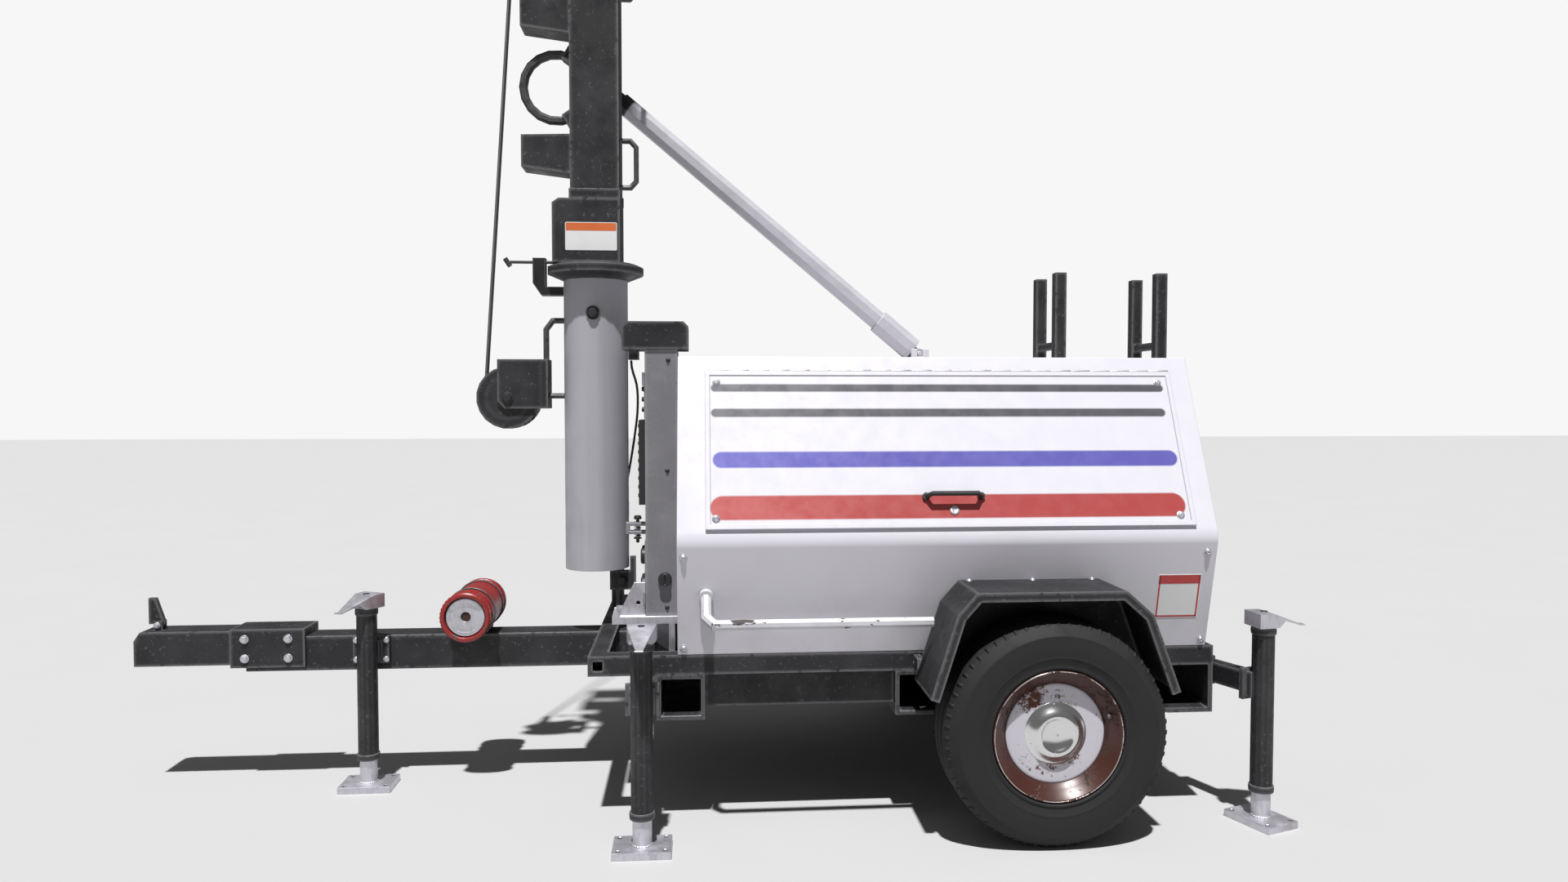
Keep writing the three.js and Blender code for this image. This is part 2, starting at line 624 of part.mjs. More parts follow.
function mastBaseTube() {
  const { x, pivot, foot, head, radius } = MAST;
  const bore = rod([x, 0, foot - 5], [x, 0, head - 20], radius - 8, 24);
  const tube = cut(rod([x, 0, foot], [x, 0, head], radius, 24), bore);
  const boltHead = rod([x, -96, pivot], [x, -103, pivot], 22, 16);
  const pivotPin = rod([x, 94, pivot], [x, PEDESTAL.y1 + 6, pivot], 20, 16);
  const hook = [[-504, 1556], [-478, 1518], [-404, 1518], [-404, 1545], [-465, 1545], [-465, 1635]];
  hook.push([-504, 1635]);
  const clampBolt = rod([-585, 0, 1623], [-437, 0, 1623], 5, 8);
  const cross = rod([-592, 0, 1634], [-576, 0, 1610], 8, 8);
  return join(tube, boltHead, pivotPin, prism("y", hook, -20, 20), clampBolt, cross);
}

function squareTube(half, wall, low, high) {
  const { x } = OUTER;
  const inside = half - wall;
  const bore = box(x - inside, x + inside, -inside, inside, low + 20, high + 1);
  return cut(box(x - half, x + half, -half, half, low, high), bore);
}

function circle(centre, radius, from, to, count) {
  return Array.from({ length: count + 1 }, (_, i) => {
    const angle = from + ((to - from) * i) / count;
    return [centre[0] + radius * Math.cos(angle), 0, centre[1] + radius * Math.sin(angle)];
  });
}

const RING = { centre: [-427, 2167], radius: 103, bar: 14, gap: 1.1 };
const LOOP = { first: 1860, pitch: 587, count: 3, height: 146, reach: 49, bar: 9 };

function mastFlange() {
  const { radius, low, high } = FLANGE;
  const edge = [[radius - 46, low], [radius, low + 19], [radius, low + 41], [radius - 24, high]];
  const profile = [[0, low], ...edge, [0, high]];
  const upright = new THREE.Matrix4().makeRotationX(Math.PI / 2).setPosition(MAST.x, 0, 0);
  return moved(lathe(profile, 24), upright);
}

function mastCollar() {
  const { front, rear, half, top, corner } = COLLAR;
  const foot = FLANGE.high - 1;
  const outline = [[front, foot], [rear, foot], [rear, top], [front + 20, top], [front, top - corner]];
  return prism("y", outline, -half, half);
}

function mastArms(left) {
  const arm = [[left + 1, 1893], [left + 1, 2015], [left - 152, 2010], [left - 152, 1912]];
  return [0, 430].map((rise) => prism("y", arm.map(([a, b]) => [a, b + rise]), -48, 48));
}

// The ring that the lamp cable hangs on, open towards the mast, and its two lugs.
function cableRing(left) {
  const { centre, radius, gap } = RING;
  const ring = bar(circle(centre, radius, gap, 2 * Math.PI - gap, 12), RING.bar, 8);
  const lugs = SIDES.map((s) => {
    const z = centre[1] + s * radius * Math.sin(gap);
    const outline = [[left + 1, z - s * 26], [left + 1, z + s * 34], [left - 8, z + s * 34]];
    outline.push([left - 30, z - s * 4]);
    return prism("y", outline, -22, 22);
  });
  return [ring, ...lugs];
}

function mastLoop(right, z) {
  const root = right - 4;
  const end = right + LOOP.reach;
  const top = z + LOOP.height;
  const upper = [[root, 0, top], [end - 18, 0, top], [end, 0, top - 20]];
  const lower = [[end, 0, z + 20], [end - 18, 0, z], [root, 0, z]];
  return bar([...upper, ...lower], LOOP.bar, 6);
}

function strutPivot() {
  const [x, z] = STRUT.top;
  return [rod([x, OUTER.half - 2, z], [x, 130, z], 26), rod([x, 128, z], [x, 206, z], 12)];
}

function headSheave(left) {
  const { x, z, radius } = SHEAVE;
  return [rod([x, -9, z], [x, 9, z], radius, 14), box(x - 18, left + 2, 9, 17, z - 20, z + 20)];
}

function mastOuter() {
  const { x, half, wall, high } = OUTER;
  const left = x - half;
  const right = x + half;
  const shaft = box(left, right, -half, half, COLLAR.top - 1, high);
  const bore = box(left + wall, right - wall, wall - half, half - wall, 1720, high + 1);
  const loops = Array.from({ length: LOOP.count }, (_, i) => mastLoop(right, LOOP.first + i * LOOP.pitch));
  const fittings = [mastArms(left), cableRing(left), loops, strutPivot(), headSheave(left)].flat();
  return cut(join(mastFlange(), mastCollar(), shaft, fittings), bore);
}

const INNER = { half: 56, low: 1850, high: 4051, chamfer: 14 };

// An upright post on the mast's line whose four corners are cut off.
function chamferedPost(half, low, high) {
  const inside = half - INNER.chamfer;
  const corners = [[1, 1], [-1, 1], [-1, -1], [1, -1]].flatMap(([i, j]) => {
    const pair = [[i * half, j * inside], [i * inside, j * half]];
    return i === j ? pair : pair.reverse();
  });
  return prism("z", corners.map(([a, b]) => [OUTER.x + a, b]), low, high);
}

// The innermost section carries a crossbar with a pair of lugs for each lamp.
const LAMPS = { y: [-490, -170, 170, 490], z: 4165, lug: 42 };

function mastInner() {
  const { x } = OUTER;
  const crossbar = box(x - 30, x + 30, -600, 600, 4050, 4110);
  const lugs = LAMPS.y.flatMap((y) =>
    SIDES.map((s) => {
      const lug = box(x - 18, x + 18, y + s * 34, y + s * LAMPS.lug, 4109, LAMPS.z + 18);
      return cut(lug, rod([x, y - 60, LAMPS.z], [x, y + 60, LAMPS.z], 8.8, 8));
    }),
  );
  return join(chamferedPost(INNER.half, INNER.low, INNER.high), crossbar, lugs);
}

function floodlight() {
  const stem = rod([0, -31, 0], [0, 31, 0], 18, 10);
  const pin = rod([0, -46, 0], [0, 46, 0], 8, 8);
  const neck = box(-14, 14, -24, 24, 4, 70);
  const head = [[-70, 38], [-88, 58], [-88, 262], [-70, 280], [20, 252], [62, 210], [62, 108], [20, 66]];
  const shade = prism("y", head, -130, 130);
  const front = box(-100, -66, -118, 118, 62, 258);
  return cut(join(stem, pin, neck, shade), front);
}

const strutWay = new THREE.Vector2(STRUT.foot[0] - STRUT.top[0], STRUT.foot[1] - STRUT.top[1]);
const strutLength = strutWay.length();

// In its own frame the strut runs along +x from its upper pivot.
function strut() {
  const { radius } = STRUT;
  const eye = cut(rod([0, -34, 0], [0, 34, 0], 30, 16), rod([0, -40, 0], [0, 40, 0], 12.8, 12));
  const tip = rod([24, 0, 0], [62, 0, 0], 27, 8);
  const tube = rod([60, 0, 0], [strutLength - 160, 0, 0], radius, 8);
  const sleeve = rod([strutLength - 175, 0, 0], [strutLength - 24, 0, 0], 41, 8);
  const foot = rod([strutLength, -28, 0], [strutLength, 28, 0], 20, 16);
  const neck = box(strutLength - 30, strutLength, -20, 20, -14, 14);
  const { half } = STRUT_PIN;
  const pin = rod([strutLength, -half, 0], [strutLength, half, 0], STRUT_PIN.radius, 12);
  const shank = cut(join(tip, tube), rod([0, -40, 0], [0, 40, 0], 20, 12));
  return join(shank, eye, sleeve, foot, neck, pin);
}

// ---- Winch ----
const WINCH = { x: -581, z: 1197, radius: 98, core: 66, half: 36, axle: 10 };

function winchFrame() {
  const { x, z, half, axle } = WINCH;
  const route = [[-411, 0, 1440], [-445, 0, 1440], [-466, 0, 1412], [-466, 0, 1203], [-411, 0, 1203]];
  const mastSpace = rod([MAST.x, 0, 1100], [MAST.x, 0, 1500], MAST.radius + GAP, 24);
  const handle = cut(bar(route, 10, 6), mastSpace);
  const outline = [[-456, 1163], [-590, 1163], [-612, 1186], [-612, 1317], [-456, 1317]];
  const cheeks = SIDES.map((s) => prism("y", outline, s * (half + 3), s * (half + 9)));
  const web = box(-478, -456, -half - 8, half + 8, 1163, 1317);
  return join(cheeks, web, handle, rod([x, -half - 14, z], [x, half + 14, z], axle, 16));
}

function winchDrum() {
  const { x, z, radius, core, half, axle } = WINCH;
  const flanges = SIDES.map((s) => rod([x, s * (half - 5), z], [x, s * half, z], radius, 20));
  const hub = rod([x, 1 - half, z], [x, half - 1, z], core, 20);
  return cut(join(hub, flanges), rod([x, -half - 5, z], [x, half + 5, z], axle + 0.6, 16));
}

const CABLE = { start: [-656, 0, 1205], end: [-470, 0, SHEAVE.z], radius: 6.5 };

add(machine, "mast_base_tube", mastBaseTube(), mastGrey);
add(machine, "mast_outer", mastOuter(), charcoal);
add(machine, "mast_middle", squareTube(65, 6, 1824, 3985), charcoal);
add(machine, "mast_inner", mastInner(), mastGrey);
LAMPS.y.forEach((y, i) => add(machine, `floodlight_${i + 1}`, floodlight(), black, [OUTER.x, y, LAMPS.z]));

const strutMesh = add(machine, "strut", strut(), paleSteel, [STRUT.top[0], STRUT.y, STRUT.top[1]]);
strutMesh.rotation.y = -strutWay.angle();

add(machine, "winch_frame", winchFrame(), charcoal);
add(machine, "winch_drum", winchDrum(), charcoal);
add(machine, "winch_cable", rod(CABLE.start, CABLE.end, CABLE.radius, 8), charcoal);

// The origin is at ground level, midway along and across the standing machine.
export default machine;
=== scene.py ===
"""Looks of a towable diesel lighting tower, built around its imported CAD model.

Metres, +X rearwards, +Z up.
"""

import math

import bmesh
import bpy
from mathutils import Matrix, Vector


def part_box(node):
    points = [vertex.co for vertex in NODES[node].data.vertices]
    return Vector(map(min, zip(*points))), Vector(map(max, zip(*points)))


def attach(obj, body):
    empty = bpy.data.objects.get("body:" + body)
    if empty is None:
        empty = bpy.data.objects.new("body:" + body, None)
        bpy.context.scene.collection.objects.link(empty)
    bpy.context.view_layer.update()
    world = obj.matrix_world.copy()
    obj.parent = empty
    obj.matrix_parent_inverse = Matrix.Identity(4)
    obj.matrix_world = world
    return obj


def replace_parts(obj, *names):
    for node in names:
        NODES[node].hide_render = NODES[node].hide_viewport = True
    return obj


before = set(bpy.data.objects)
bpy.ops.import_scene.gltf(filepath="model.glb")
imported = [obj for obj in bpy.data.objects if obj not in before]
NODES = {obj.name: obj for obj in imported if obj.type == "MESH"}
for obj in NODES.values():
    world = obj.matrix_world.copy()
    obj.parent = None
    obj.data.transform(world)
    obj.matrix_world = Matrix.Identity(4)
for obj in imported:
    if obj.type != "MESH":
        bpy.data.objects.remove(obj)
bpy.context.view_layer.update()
SIDES = {"near": -1, "far": 1}
JACKS = ("tongue_jack", "front_jack_near", "front_jack_far", "rear_jack_near", "rear_jack_far")

# ---- Camera, light and floor ----
CAMERA_PLACE = (0.015, -3.425, 1.190)
CAMERA_PITCH = 87.79
CAMERA_YAW = -4.55
CAMERA_LENS = 24.45
SENSOR_WIDTH = 36.0
SUN_WAY = Vector((0.045, 0.37, -1.0))
SUN_STRENGTH = 5.8
SUN_ANGLE = 1.5
SKY_STRENGTH = 0.16
BACKDROP_STRENGTH = 0.93
FLOOR_SIZE = 60.0


def make_camera():
    data = bpy.data.cameras.new("camera")
    data.lens = CAMERA_LENS
    data.sensor_width = SENSOR_WIDTH
    camera = bpy.data.objects.new("camera", data)
    camera.location = CAMERA_PLACE
    camera.rotation_euler = (math.radians(CAMERA_PITCH), 0.0, math.radians(CAMERA_YAW))
    bpy.context.scene.collection.objects.link(camera)
    bpy.context.scene.camera = camera


def make_light():
    data = bpy.data.lights.new("sun", "SUN")
    data.energy = SUN_STRENGTH
    data.angle = math.radians(SUN_ANGLE)
    sun = bpy.data.objects.new("sun", data)
    sun.rotation_euler = SUN_WAY.to_track_quat("-Z", "Y").to_euler()
    bpy.context.scene.collection.objects.link(sun)
    world = bpy.data.worlds.new("studio")
    world.use_nodes = True
    tree = world.node_tree
    sky = tree.nodes["Background"]
    sky.inputs["Color"].default_value = (1.0, 1.0, 1.0, 1.0)
    seen = tree.nodes.new("ShaderNodeLightPath").outputs["Is Camera Ray"]
    strength = tree.nodes.new("ShaderNodeMapRange")
    strength.inputs["To Min"].default_value = SKY_STRENGTH
    strength.inputs["To Max"].default_value = BACKDROP_STRENGTH
    tree.links.new(seen, strength.inputs["Value"])
    tree.links.new(strength.outputs["Result"], sky.inputs["Strength"])
    bpy.context.scene.world = world
    bpy.context.scene.view_settings.view_transform = "Standard"


# ---- Materials ----
class Surface:
    """A material being made: its nodes, its shader, and short ways to add to both."""

    def __init__(self, name, roughness, metallic=0.0):
        self.material = bpy.data.materials.new(name)
        self.material.use_nodes = True
        self.tree = self.material.node_tree
        self.shader = self.tree.nodes["Principled BSDF"]
        self.shader.inputs["Roughness"].default_value = roughness
        self.shader.inputs["Metallic"].default_value = metallic
        self.place = self.tree.nodes.new("ShaderNodeTexCoord").outputs["Object"]

    def put(self, socket, value):
        if isinstance(value, bpy.types.NodeSocket):
            self.tree.links.new(value, socket)
        elif isinstance(value, (tuple, list)) and len(value) == 3 and socket.type == "RGBA":
            socket.default_value = (*value, 1.0)
        else:
            socket.default_value = value

    def stretched(self, stretch):
        mapping = self.tree.nodes.new("ShaderNodeMapping")
        self.put(mapping.inputs["Vector"], self.place)
        mapping.inputs["Scale"].default_value = stretch
        return mapping.outputs["Vector"]

    def noise(self, scale, detail=4.0, stretch=None, rough=0.6):
        noise = self.tree.nodes.new("ShaderNodeTexNoise")
        self.put(noise.inputs["Vector"], self.stretched(stretch) if stretch else self.place)
        noise.inputs["Scale"].default_value = scale
        noise.inputs["Detail"].default_value = detail
        noise.inputs["Roughness"].default_value = rough
        return noise.outputs["Fac"]

    def grains(self, scale):
        cells = self.tree.nodes.new("ShaderNodeTexVoronoi")
        self.put(cells.inputs["Vector"], self.place)
        cells.inputs["Scale"].default_value = scale
        return cells.outputs["Distance"]

    def math(self, operation, *values):
        node = self.tree.nodes.new("ShaderNodeMath")
        node.operation = operation
        for socket, value in zip(node.inputs, values):
            self.put(socket, value)
        return node.outputs[0]

    def between(self, value, low, high, start=0.0, end=1.0):
        node = self.tree.nodes.new("ShaderNodeMapRange")
        node.interpolation_type = "SMOOTHSTEP"
        for socket, given in zip(node.inputs, (value, low, high, start, end)):
            self.put(socket, given)
        return node.outputs[0]

    def mix(self, factor, first, second):
        node = self.tree.nodes.new("ShaderNodeMix")
        node.data_type = "RGBA"
        self.put(node.inputs["Factor"], factor)
        # Several sockets share the names A, B and Result, so the colour ones are picked by type.
        ends = [s for s in node.inputs if s.type == "RGBA"]
        self.put(ends[0], first)
        self.put(ends[1], second)
        return [s for s in node.outputs if s.type == "RGBA"][0]

    def parts_of_place(self):
        split = self.tree.nodes.new("ShaderNodeSeparateXYZ")
        self.put(split.inputs[0], self.place)
        return split.outputs

    def edges(self, radius, sharpness=0.16):
        bevel = self.tree.nodes.new("ShaderNodeBevel")
        bevel.samples = 4
        bevel.inputs["Radius"].default_value = radius
        flat = self.tree.nodes.new("ShaderNodeNewGeometry").outputs["True Normal"]
        product = self.tree.nodes.new("ShaderNodeVectorMath")
        product.operation = "DOT_PRODUCT"
        self.put(product.inputs[0], bevel.outputs["Normal"])
        self.put(product.inputs[1], flat)
        return self.between(product.outputs["Value"], 0.995, 1.0 - sharpness)

    def bump(self, height, strength, distance):
        node = self.tree.nodes.new("ShaderNodeBump")
        node.inputs["Strength"].default_value = strength
        node.inputs["Distance"].default_value = distance
        self.put(node.inputs["Height"], height)
        self.put(self.shader.inputs["Normal"], node.outputs["Normal"])

    def done(self, colour, roughness=None):
        self.put(self.shader.inputs["Base Color"], colour)
        if roughness is not None:
            self.put(self.shader.inputs["Roughness"], roughness)
        return self.material


def worn_paint(name, colour, smudge, edge, roughness=0.55, edge_width=0.016):
    """Paint with cloudy smudges, fine dust and paler rubbed edges."""
    s = Surface(name, roughness, 0.15)
    clouds = s.between(s.noise(7.0, 6.0), 0.40, 0.68)
    specks = s.between(s.noise(90.0, 3.0), 0.60, 0.70)
    base = s.mix(clouds, colour, smudge)
    base = s.mix(s.math("MULTIPLY", specks, 0.30), base, edge)
    chips = s.between(s.noise(45.0, 6.0), 0.30, 0.46)
    worn = s.math("MULTIPLY", s.edges(edge_width), chips)
    base = s.mix(s.math("MULTIPLY", worn, 0.9), base, edge)
    s.bump(s.noise(240.0, 2.0), 0.12, 0.0006)
    return s.done(base, s.between(s.noise(16.0), 0.3, 0.7, roughness - 0.10, roughness + 0.14))


def smooth_paint(name, colour, dust, roughness=0.34):
    """Even sheet-metal paint with a faint orange peel and grey patches that grow stronger towards the bottom.
    """
    s = Surface(name, roughness)
    s.shader.inputs["Coat Weight"].default_value = 0.15
    s.shader.inputs["Coat Roughness"].default_value = 0.25
    height = s.parts_of_place()[2]
    # Grey patches that grow stronger from z 0.80 down to z 0.48, plus faint upright streaks everywhere.
    low = s.between(height, 0.80, 0.48)
    patches = s.between(s.noise(5.0, 6.0), 0.42, 0.75)
    streaks = s.between(s.noise(9.0, 4.0, (1.0, 1.0, 0.08)), 0.50, 0.80)
    low_darkening = s.math("MULTIPLY", low, patches)
    low_darkening = s.math("ADD", s.math("MULTIPLY", low_darkening, 0.35), s.math("MULTIPLY", streaks, 0.08))
    base = s.mix(low_darkening, colour, dust)
    s.bump(s.noise(120.0, 2.0), 0.05, 0.0006)
    return s.done(base, s.between(s.noise(20.0), 0.3, 0.7, roughness - 0.05, roughness + 0.10))


def bare_steel(name, colour, stain, roughness=0.38, stretch=(1.0, 1.0, 0.25), metallic=0.75):
    """Zinc plate or bare steel with drawn scratches, stains and dull patches."""
    s = Surface(name, roughness, metallic)
    scratches = s.between(s.noise(160.0, 3.0, stretch), 0.45, 0.75)
    stains = s.between(s.noise(12.0, 6.0), 0.52, 0.72)
    base = s.mix(s.math("MULTIPLY", scratches, 0.30), colour, stain)
    base = s.mix(s.math("MULTIPLY", stains, 0.50), base, stain)
    s.bump(s.noise(200.0, 3.0, stretch), 0.10, 0.0005)
    return s.done(base, s.between(s.noise(18.0), 0.3, 0.7, roughness - 0.10, roughness + 0.18))


def chipped_paint(name, colour, bare):
    """Pale paint that has flaked off in patches."""
    s = Surface(name, 0.45, 0.2)
    chips = s.between(s.noise(26.0, 8.0, (0.45, 1.0, 1.0), 0.7), 0.585, 0.61)
    base = s.mix(chips, s.mix(s.between(s.noise(6.0), 0.4, 0.7), colour, [c * 0.82 for c in colour]), bare)
    s.bump(s.math("SUBTRACT", 1.0, chips), 0.35, 0.0008)
    return s.done(base, s.between(chips, 0.0, 1.0, 0.38, 0.75))


def rusty(name, paint, rust, amount, metallic=0.4, roughness=0.35, spots=()):
    """Paint or plate breaking into rust; a higher amount leaves less paint, least of all at the spots."""
    s = Surface(name, roughness, metallic)
    cells = s.noise(46.0, 12.0, None, 0.80)
    patches = s.noise(7.0, 4.0)
    both = s.math("ADD", s.math("MULTIPLY", cells, 0.6), s.math("MULTIPLY", patches, 0.4))
    for middle, radius, extra in spots:
        gap = s.tree.nodes.new("ShaderNodeVectorMath")
        gap.operation = "DISTANCE"
        s.put(gap.inputs[0], s.place)
        gap.inputs[1].default_value = middle
        both = s.math("ADD", both, s.between(gap.outputs["Value"], radius, 0.0, 0.0, extra))
    specks = s.between(s.noise(130.0, 3.0), 0.685, 0.715)
    where = s.math("MAXIMUM", s.between(both, 0.60 - amount, 0.635 - amount), specks)
    brown = s.mix(s.noise(60.0, 5.0), rust, [c * 0.35 for c in rust])
    s.bump(s.math("MULTIPLY", where, s.noise(150.0, 4.0)), 0.45, 0.0009)
    s.put(s.shader.inputs["Metallic"], s.between(where, 0.0, 1.0, metallic, 0.0))
    return s.done(s.mix(where, paint, brown), s.between(where, 0.0, 1.0, roughness, 0.85))


def rubber(name, colour, dust):
    s = Surface(name, 0.82)
    film = s.between(s.noise(14.0, 6.0), 0.42, 0.75)
    base = s.mix(s.math("MULTIPLY", film, 0.55), colour, dust)
    grain = s.math("ADD", s.noise(120.0, 4.0), s.math("MULTIPLY", s.noise(420.0, 2.0), 0.4))
    s.bump(grain, 0.35, 0.0012)
    return s.done(base, s.between(film, 0.0, 1.0, 0.74, 0.92))


def moulded(name, colour, roughness=0.45, speckle=0.25):
    """Fine-grained moulded plastic or powder coat."""
    s = Surface(name, roughness)
    lighter = [min(1.0, c * 1.8 + 0.01) for c in colour]
    base = s.mix(s.math("MULTIPLY", s.noise(30.0, 5.0), speckle), colour, lighter)
    s.bump(s.grains(700.0), 0.12, 0.0003)
    return s.done(base, s.between(s.noise(25.0), 0.3, 0.7, roughness - 0.06, roughness + 0.12))


def scuffed_red(name, colour, scuff):
    s = Surface(name, 0.42)
    scuffs = s.between(s.noise(34.0, 8.0, (1.0, 0.5, 1.0), 0.7), 0.54, 0.64)
    shades = s.mix(s.noise(9.0, 5.0), colour, [c * 0.45 for c in colour])
    s.bump(s.noise(90.0, 5.0), 0.20, 0.0008)
    return s.done(s.mix(scuffs, shades, scuff), s.between(scuffs, 0.0, 1.0, 0.36, 0.70))


def glass(name, colour):
    s = Surface(name, 0.06)
    s.shader.inputs["Transmission Weight"].default_value = 0.75
    s.shader.inputs["IOR"].default_value = 1.45
    smear = s.between(s.noise(9.0, 4.0), 0.35, 0.75)
    s.bump(s.noise(30.0, 2.0), 0.05, 0.0005)
    return s.done(s.mix(smear, colour, [c * 0.9 for c in colour]), s.between(smear, 0.0, 1.0, 0.04, 0.14))


def ribbed(name, colour, pale, pitch, roughness=0.5):
    """Fine fins or rope lay across the local Z axis."""
    s = Surface(name, roughness, 0.5)
    wave = s.tree.nodes.new("ShaderNodeTexWave")
    wave.bands_direction = "DIAGONAL"
    s.put(wave.inputs["Vector"], s.place)
    wave.inputs["Scale"].default_value = 1.0 / pitch
    s.bump(wave.outputs["Fac"], 0.6, 0.0015)
    return s.done(s.mix(wave.outputs["Fac"], colour, pale))


# Places on the near and far wheel discs where the rust is worst: middle, reach and strength.
WHEEL_RUST = tuple(
    spot
    for y in (-0.700, 0.700)
    for spot in (
        ((0.905, y, 0.385), 0.095, 0.125),
        ((0.985, y, 0.395), 0.060, 0.09),
        ((0.955, y, 0.305), 0.030, 0.15),
        ((0.930, y, 0.220), 0.065, 0.105),
        ((1.000, y, 0.235), 0.040, 0.08),
    )
)
STRUT_TOP = Vector((-0.285, 0.168, 2.212))
STRUT_FOOT = Vector((0.756, 0.168, 1.345))
STRUT_WAY = (STRUT_FOOT - STRUT_TOP).normalized()

# ---- The near door's colour bands, in its own frame: x along the body and down the slope from the hinge ----
SLOPE_ANGLE = math.atan2(0.485, 0.218)
DOOR_TOP = 1.270
STRIPES = (
    # down, left end, right end, radius, colour
    (0.050, 0.047, 1.384, 0.013, (0.060, 0.058, 0.068)),
    (0.128, 0.047, 1.378, 0.014, (0.060, 0.058, 0.068)),
    (0.271, 0.051, 1.389, 0.025, (0.078, 0.073, 0.340)),
    (0.412, 0.043, 1.388, 0.036, (0.330, 0.034, 0.030)),
)
BAND_PALE = 0.55


def striped_door(name, colour, dust):
    """Body paint with four colour bands that have round, slightly faded ends, and painted shade in grey along
    the door's edges.
    """
    s = Surface(name, 0.32)
    x, _, z = s.parts_of_place()[:3]
    down = s.math("DIVIDE", s.math("SUBTRACT", DOOR_TOP, z), math.sin(SLOPE_ANGLE))
    streaks = s.between(s.noise(9.0, 4.0, (1.0, 1.0, 0.08)), 0.55, 0.85)
    base = s.mix(s.math("MULTIPLY", streaks, 0.10), colour, dust)
    for middle, left, right, radius, ink in STRIPES:
        half = (right - left) / 2 - radius
        away = s.math("SUBTRACT", s.math("ABSOLUTE", s.math("SUBTRACT", x, (left + right) / 2)), half)
        along = s.math("MAXIMUM", away, 0.0)
        across = s.math("SUBTRACT", down, middle)
        squares = s.math("ADD", s.math("MULTIPLY", along, along), s.math("MULTIPLY", across, across))
        far = s.math("SQRT", squares)
        mask = s.between(far, radius + 0.002, radius - 0.004)
        fade = s.between(x, left + 0.60, left, 0.0, BAND_PALE)
        tint = s.mix(fade, ink, [min(1.0, c * 1.3 + 0.05) for c in ink])
        shade = s.mix(s.math("MULTIPLY", s.noise(60.0, 4.0), 0.3), tint, [c * 0.8 for c in ink])
        base = s.mix(s.math("MULTIPLY", mask, 0.96), base, shade)
    # Painted shade: grey along every edge of the door stands for the shade in its creases and round its
    # raised border.
    base = s.mix(s.math("MULTIPLY", s.edges(0.005), 0.75), base, (0.27, 0.26, 0.28))
    s.bump(s.noise(120.0, 2.0), 0.05, 0.0006)
    return s.done(base, s.between(s.noise(20.0), 0.3, 0.7, 0.26, 0.40))


def tube_and_iron(name, paint, iron, edge, axis_x, radius):
    """Mast paint on the round tube, dark iron on everything that stands out from it."""
    s = Surface(name, 0.42, 0.15)
    x, y, _ = s.parts_of_place()[:3]
    dx = s.math("SUBTRACT", x, axis_x)
    far = s.math("SQRT", s.math("ADD", s.math("MULTIPLY", dx, dx), s.math("MULTIPLY", y, y)))
    outside = s.math("GREATER_THAN", far, radius + 0.0012)
    streaks = s.between(s.noise(14.0, 5.0, (1.0, 1.0, 0.06)), 0.45, 0.75)
    clouds = s.between(s.noise(8.0, 6.0), 0.45, 0.75)
    grey = s.mix(s.math("MULTIPLY", streaks, 0.28), paint, [c * 0.62 for c in paint])
    grey = s.mix(s.math("MULTIPLY", clouds, 0.18), grey, [c * 0.55 for c in paint])
    dark = s.mix(s.math("MULTIPLY", s.edges(0.006), 0.8), iron, edge)
    s.bump(s.noise(200.0, 2.0), 0.08, 0.0005)
    return s.done(s.mix(outside, grey, dark), s.between(s.noise(16.0), 0.3, 0.7, 0.34, 0.56))


def strut_finish(name, pale, dark, bare_length):
    """Pale satin paint with faint scratches, and dark iron on the stretch next to the upper pivot."""
    s = Surface(name, 0.42, 0.2)
    x, _, z = s.parts_of_place()[:3]
    run = s.math("MULTIPLY", s.math("SUBTRACT", x, STRUT_TOP[0]), STRUT_WAY[0])
    fall = s.math("MULTIPLY", s.math("SUBTRACT", z, STRUT_TOP[2]), STRUT_WAY[2])
    along = s.math("ADD", run, fall)
    iron = s.between(along, bare_length + 0.004, bare_length - 0.004)
    scratches = s.between(s.noise(60.0, 5.0, (0.35, 1.0, 0.45)), 0.55, 0.75)
    clouds = s.between(s.noise(7.0, 5.0), 0.45, 0.75)
    base = s.mix(s.math("MULTIPLY", scratches, 0.16), pale, [c * 0.55 for c in pale])
    base = s.mix(s.math("MULTIPLY", clouds, 0.14), base, [c * 0.62 for c in pale])
    s.bump(s.noise(180.0, 3.0), 0.07, 0.0005)
    return s.done(s.mix(iron, base, dark), s.between(s.noise(18.0), 0.3, 0.7, 0.34, 0.54))


CHARCOAL = (0.0125, 0.0125, 0.0145)
SMUDGE = (0.024, 0.0235, 0.0268)
EDGE = (0.170, 0.163, 0.172)
WHITE = (0.575, 0.562, 0.606)
DUST = (0.360, 0.345, 0.355)
STEEL = (0.600, 0.590, 0.640)
RUST = (0.130, 0.040, 0.018)

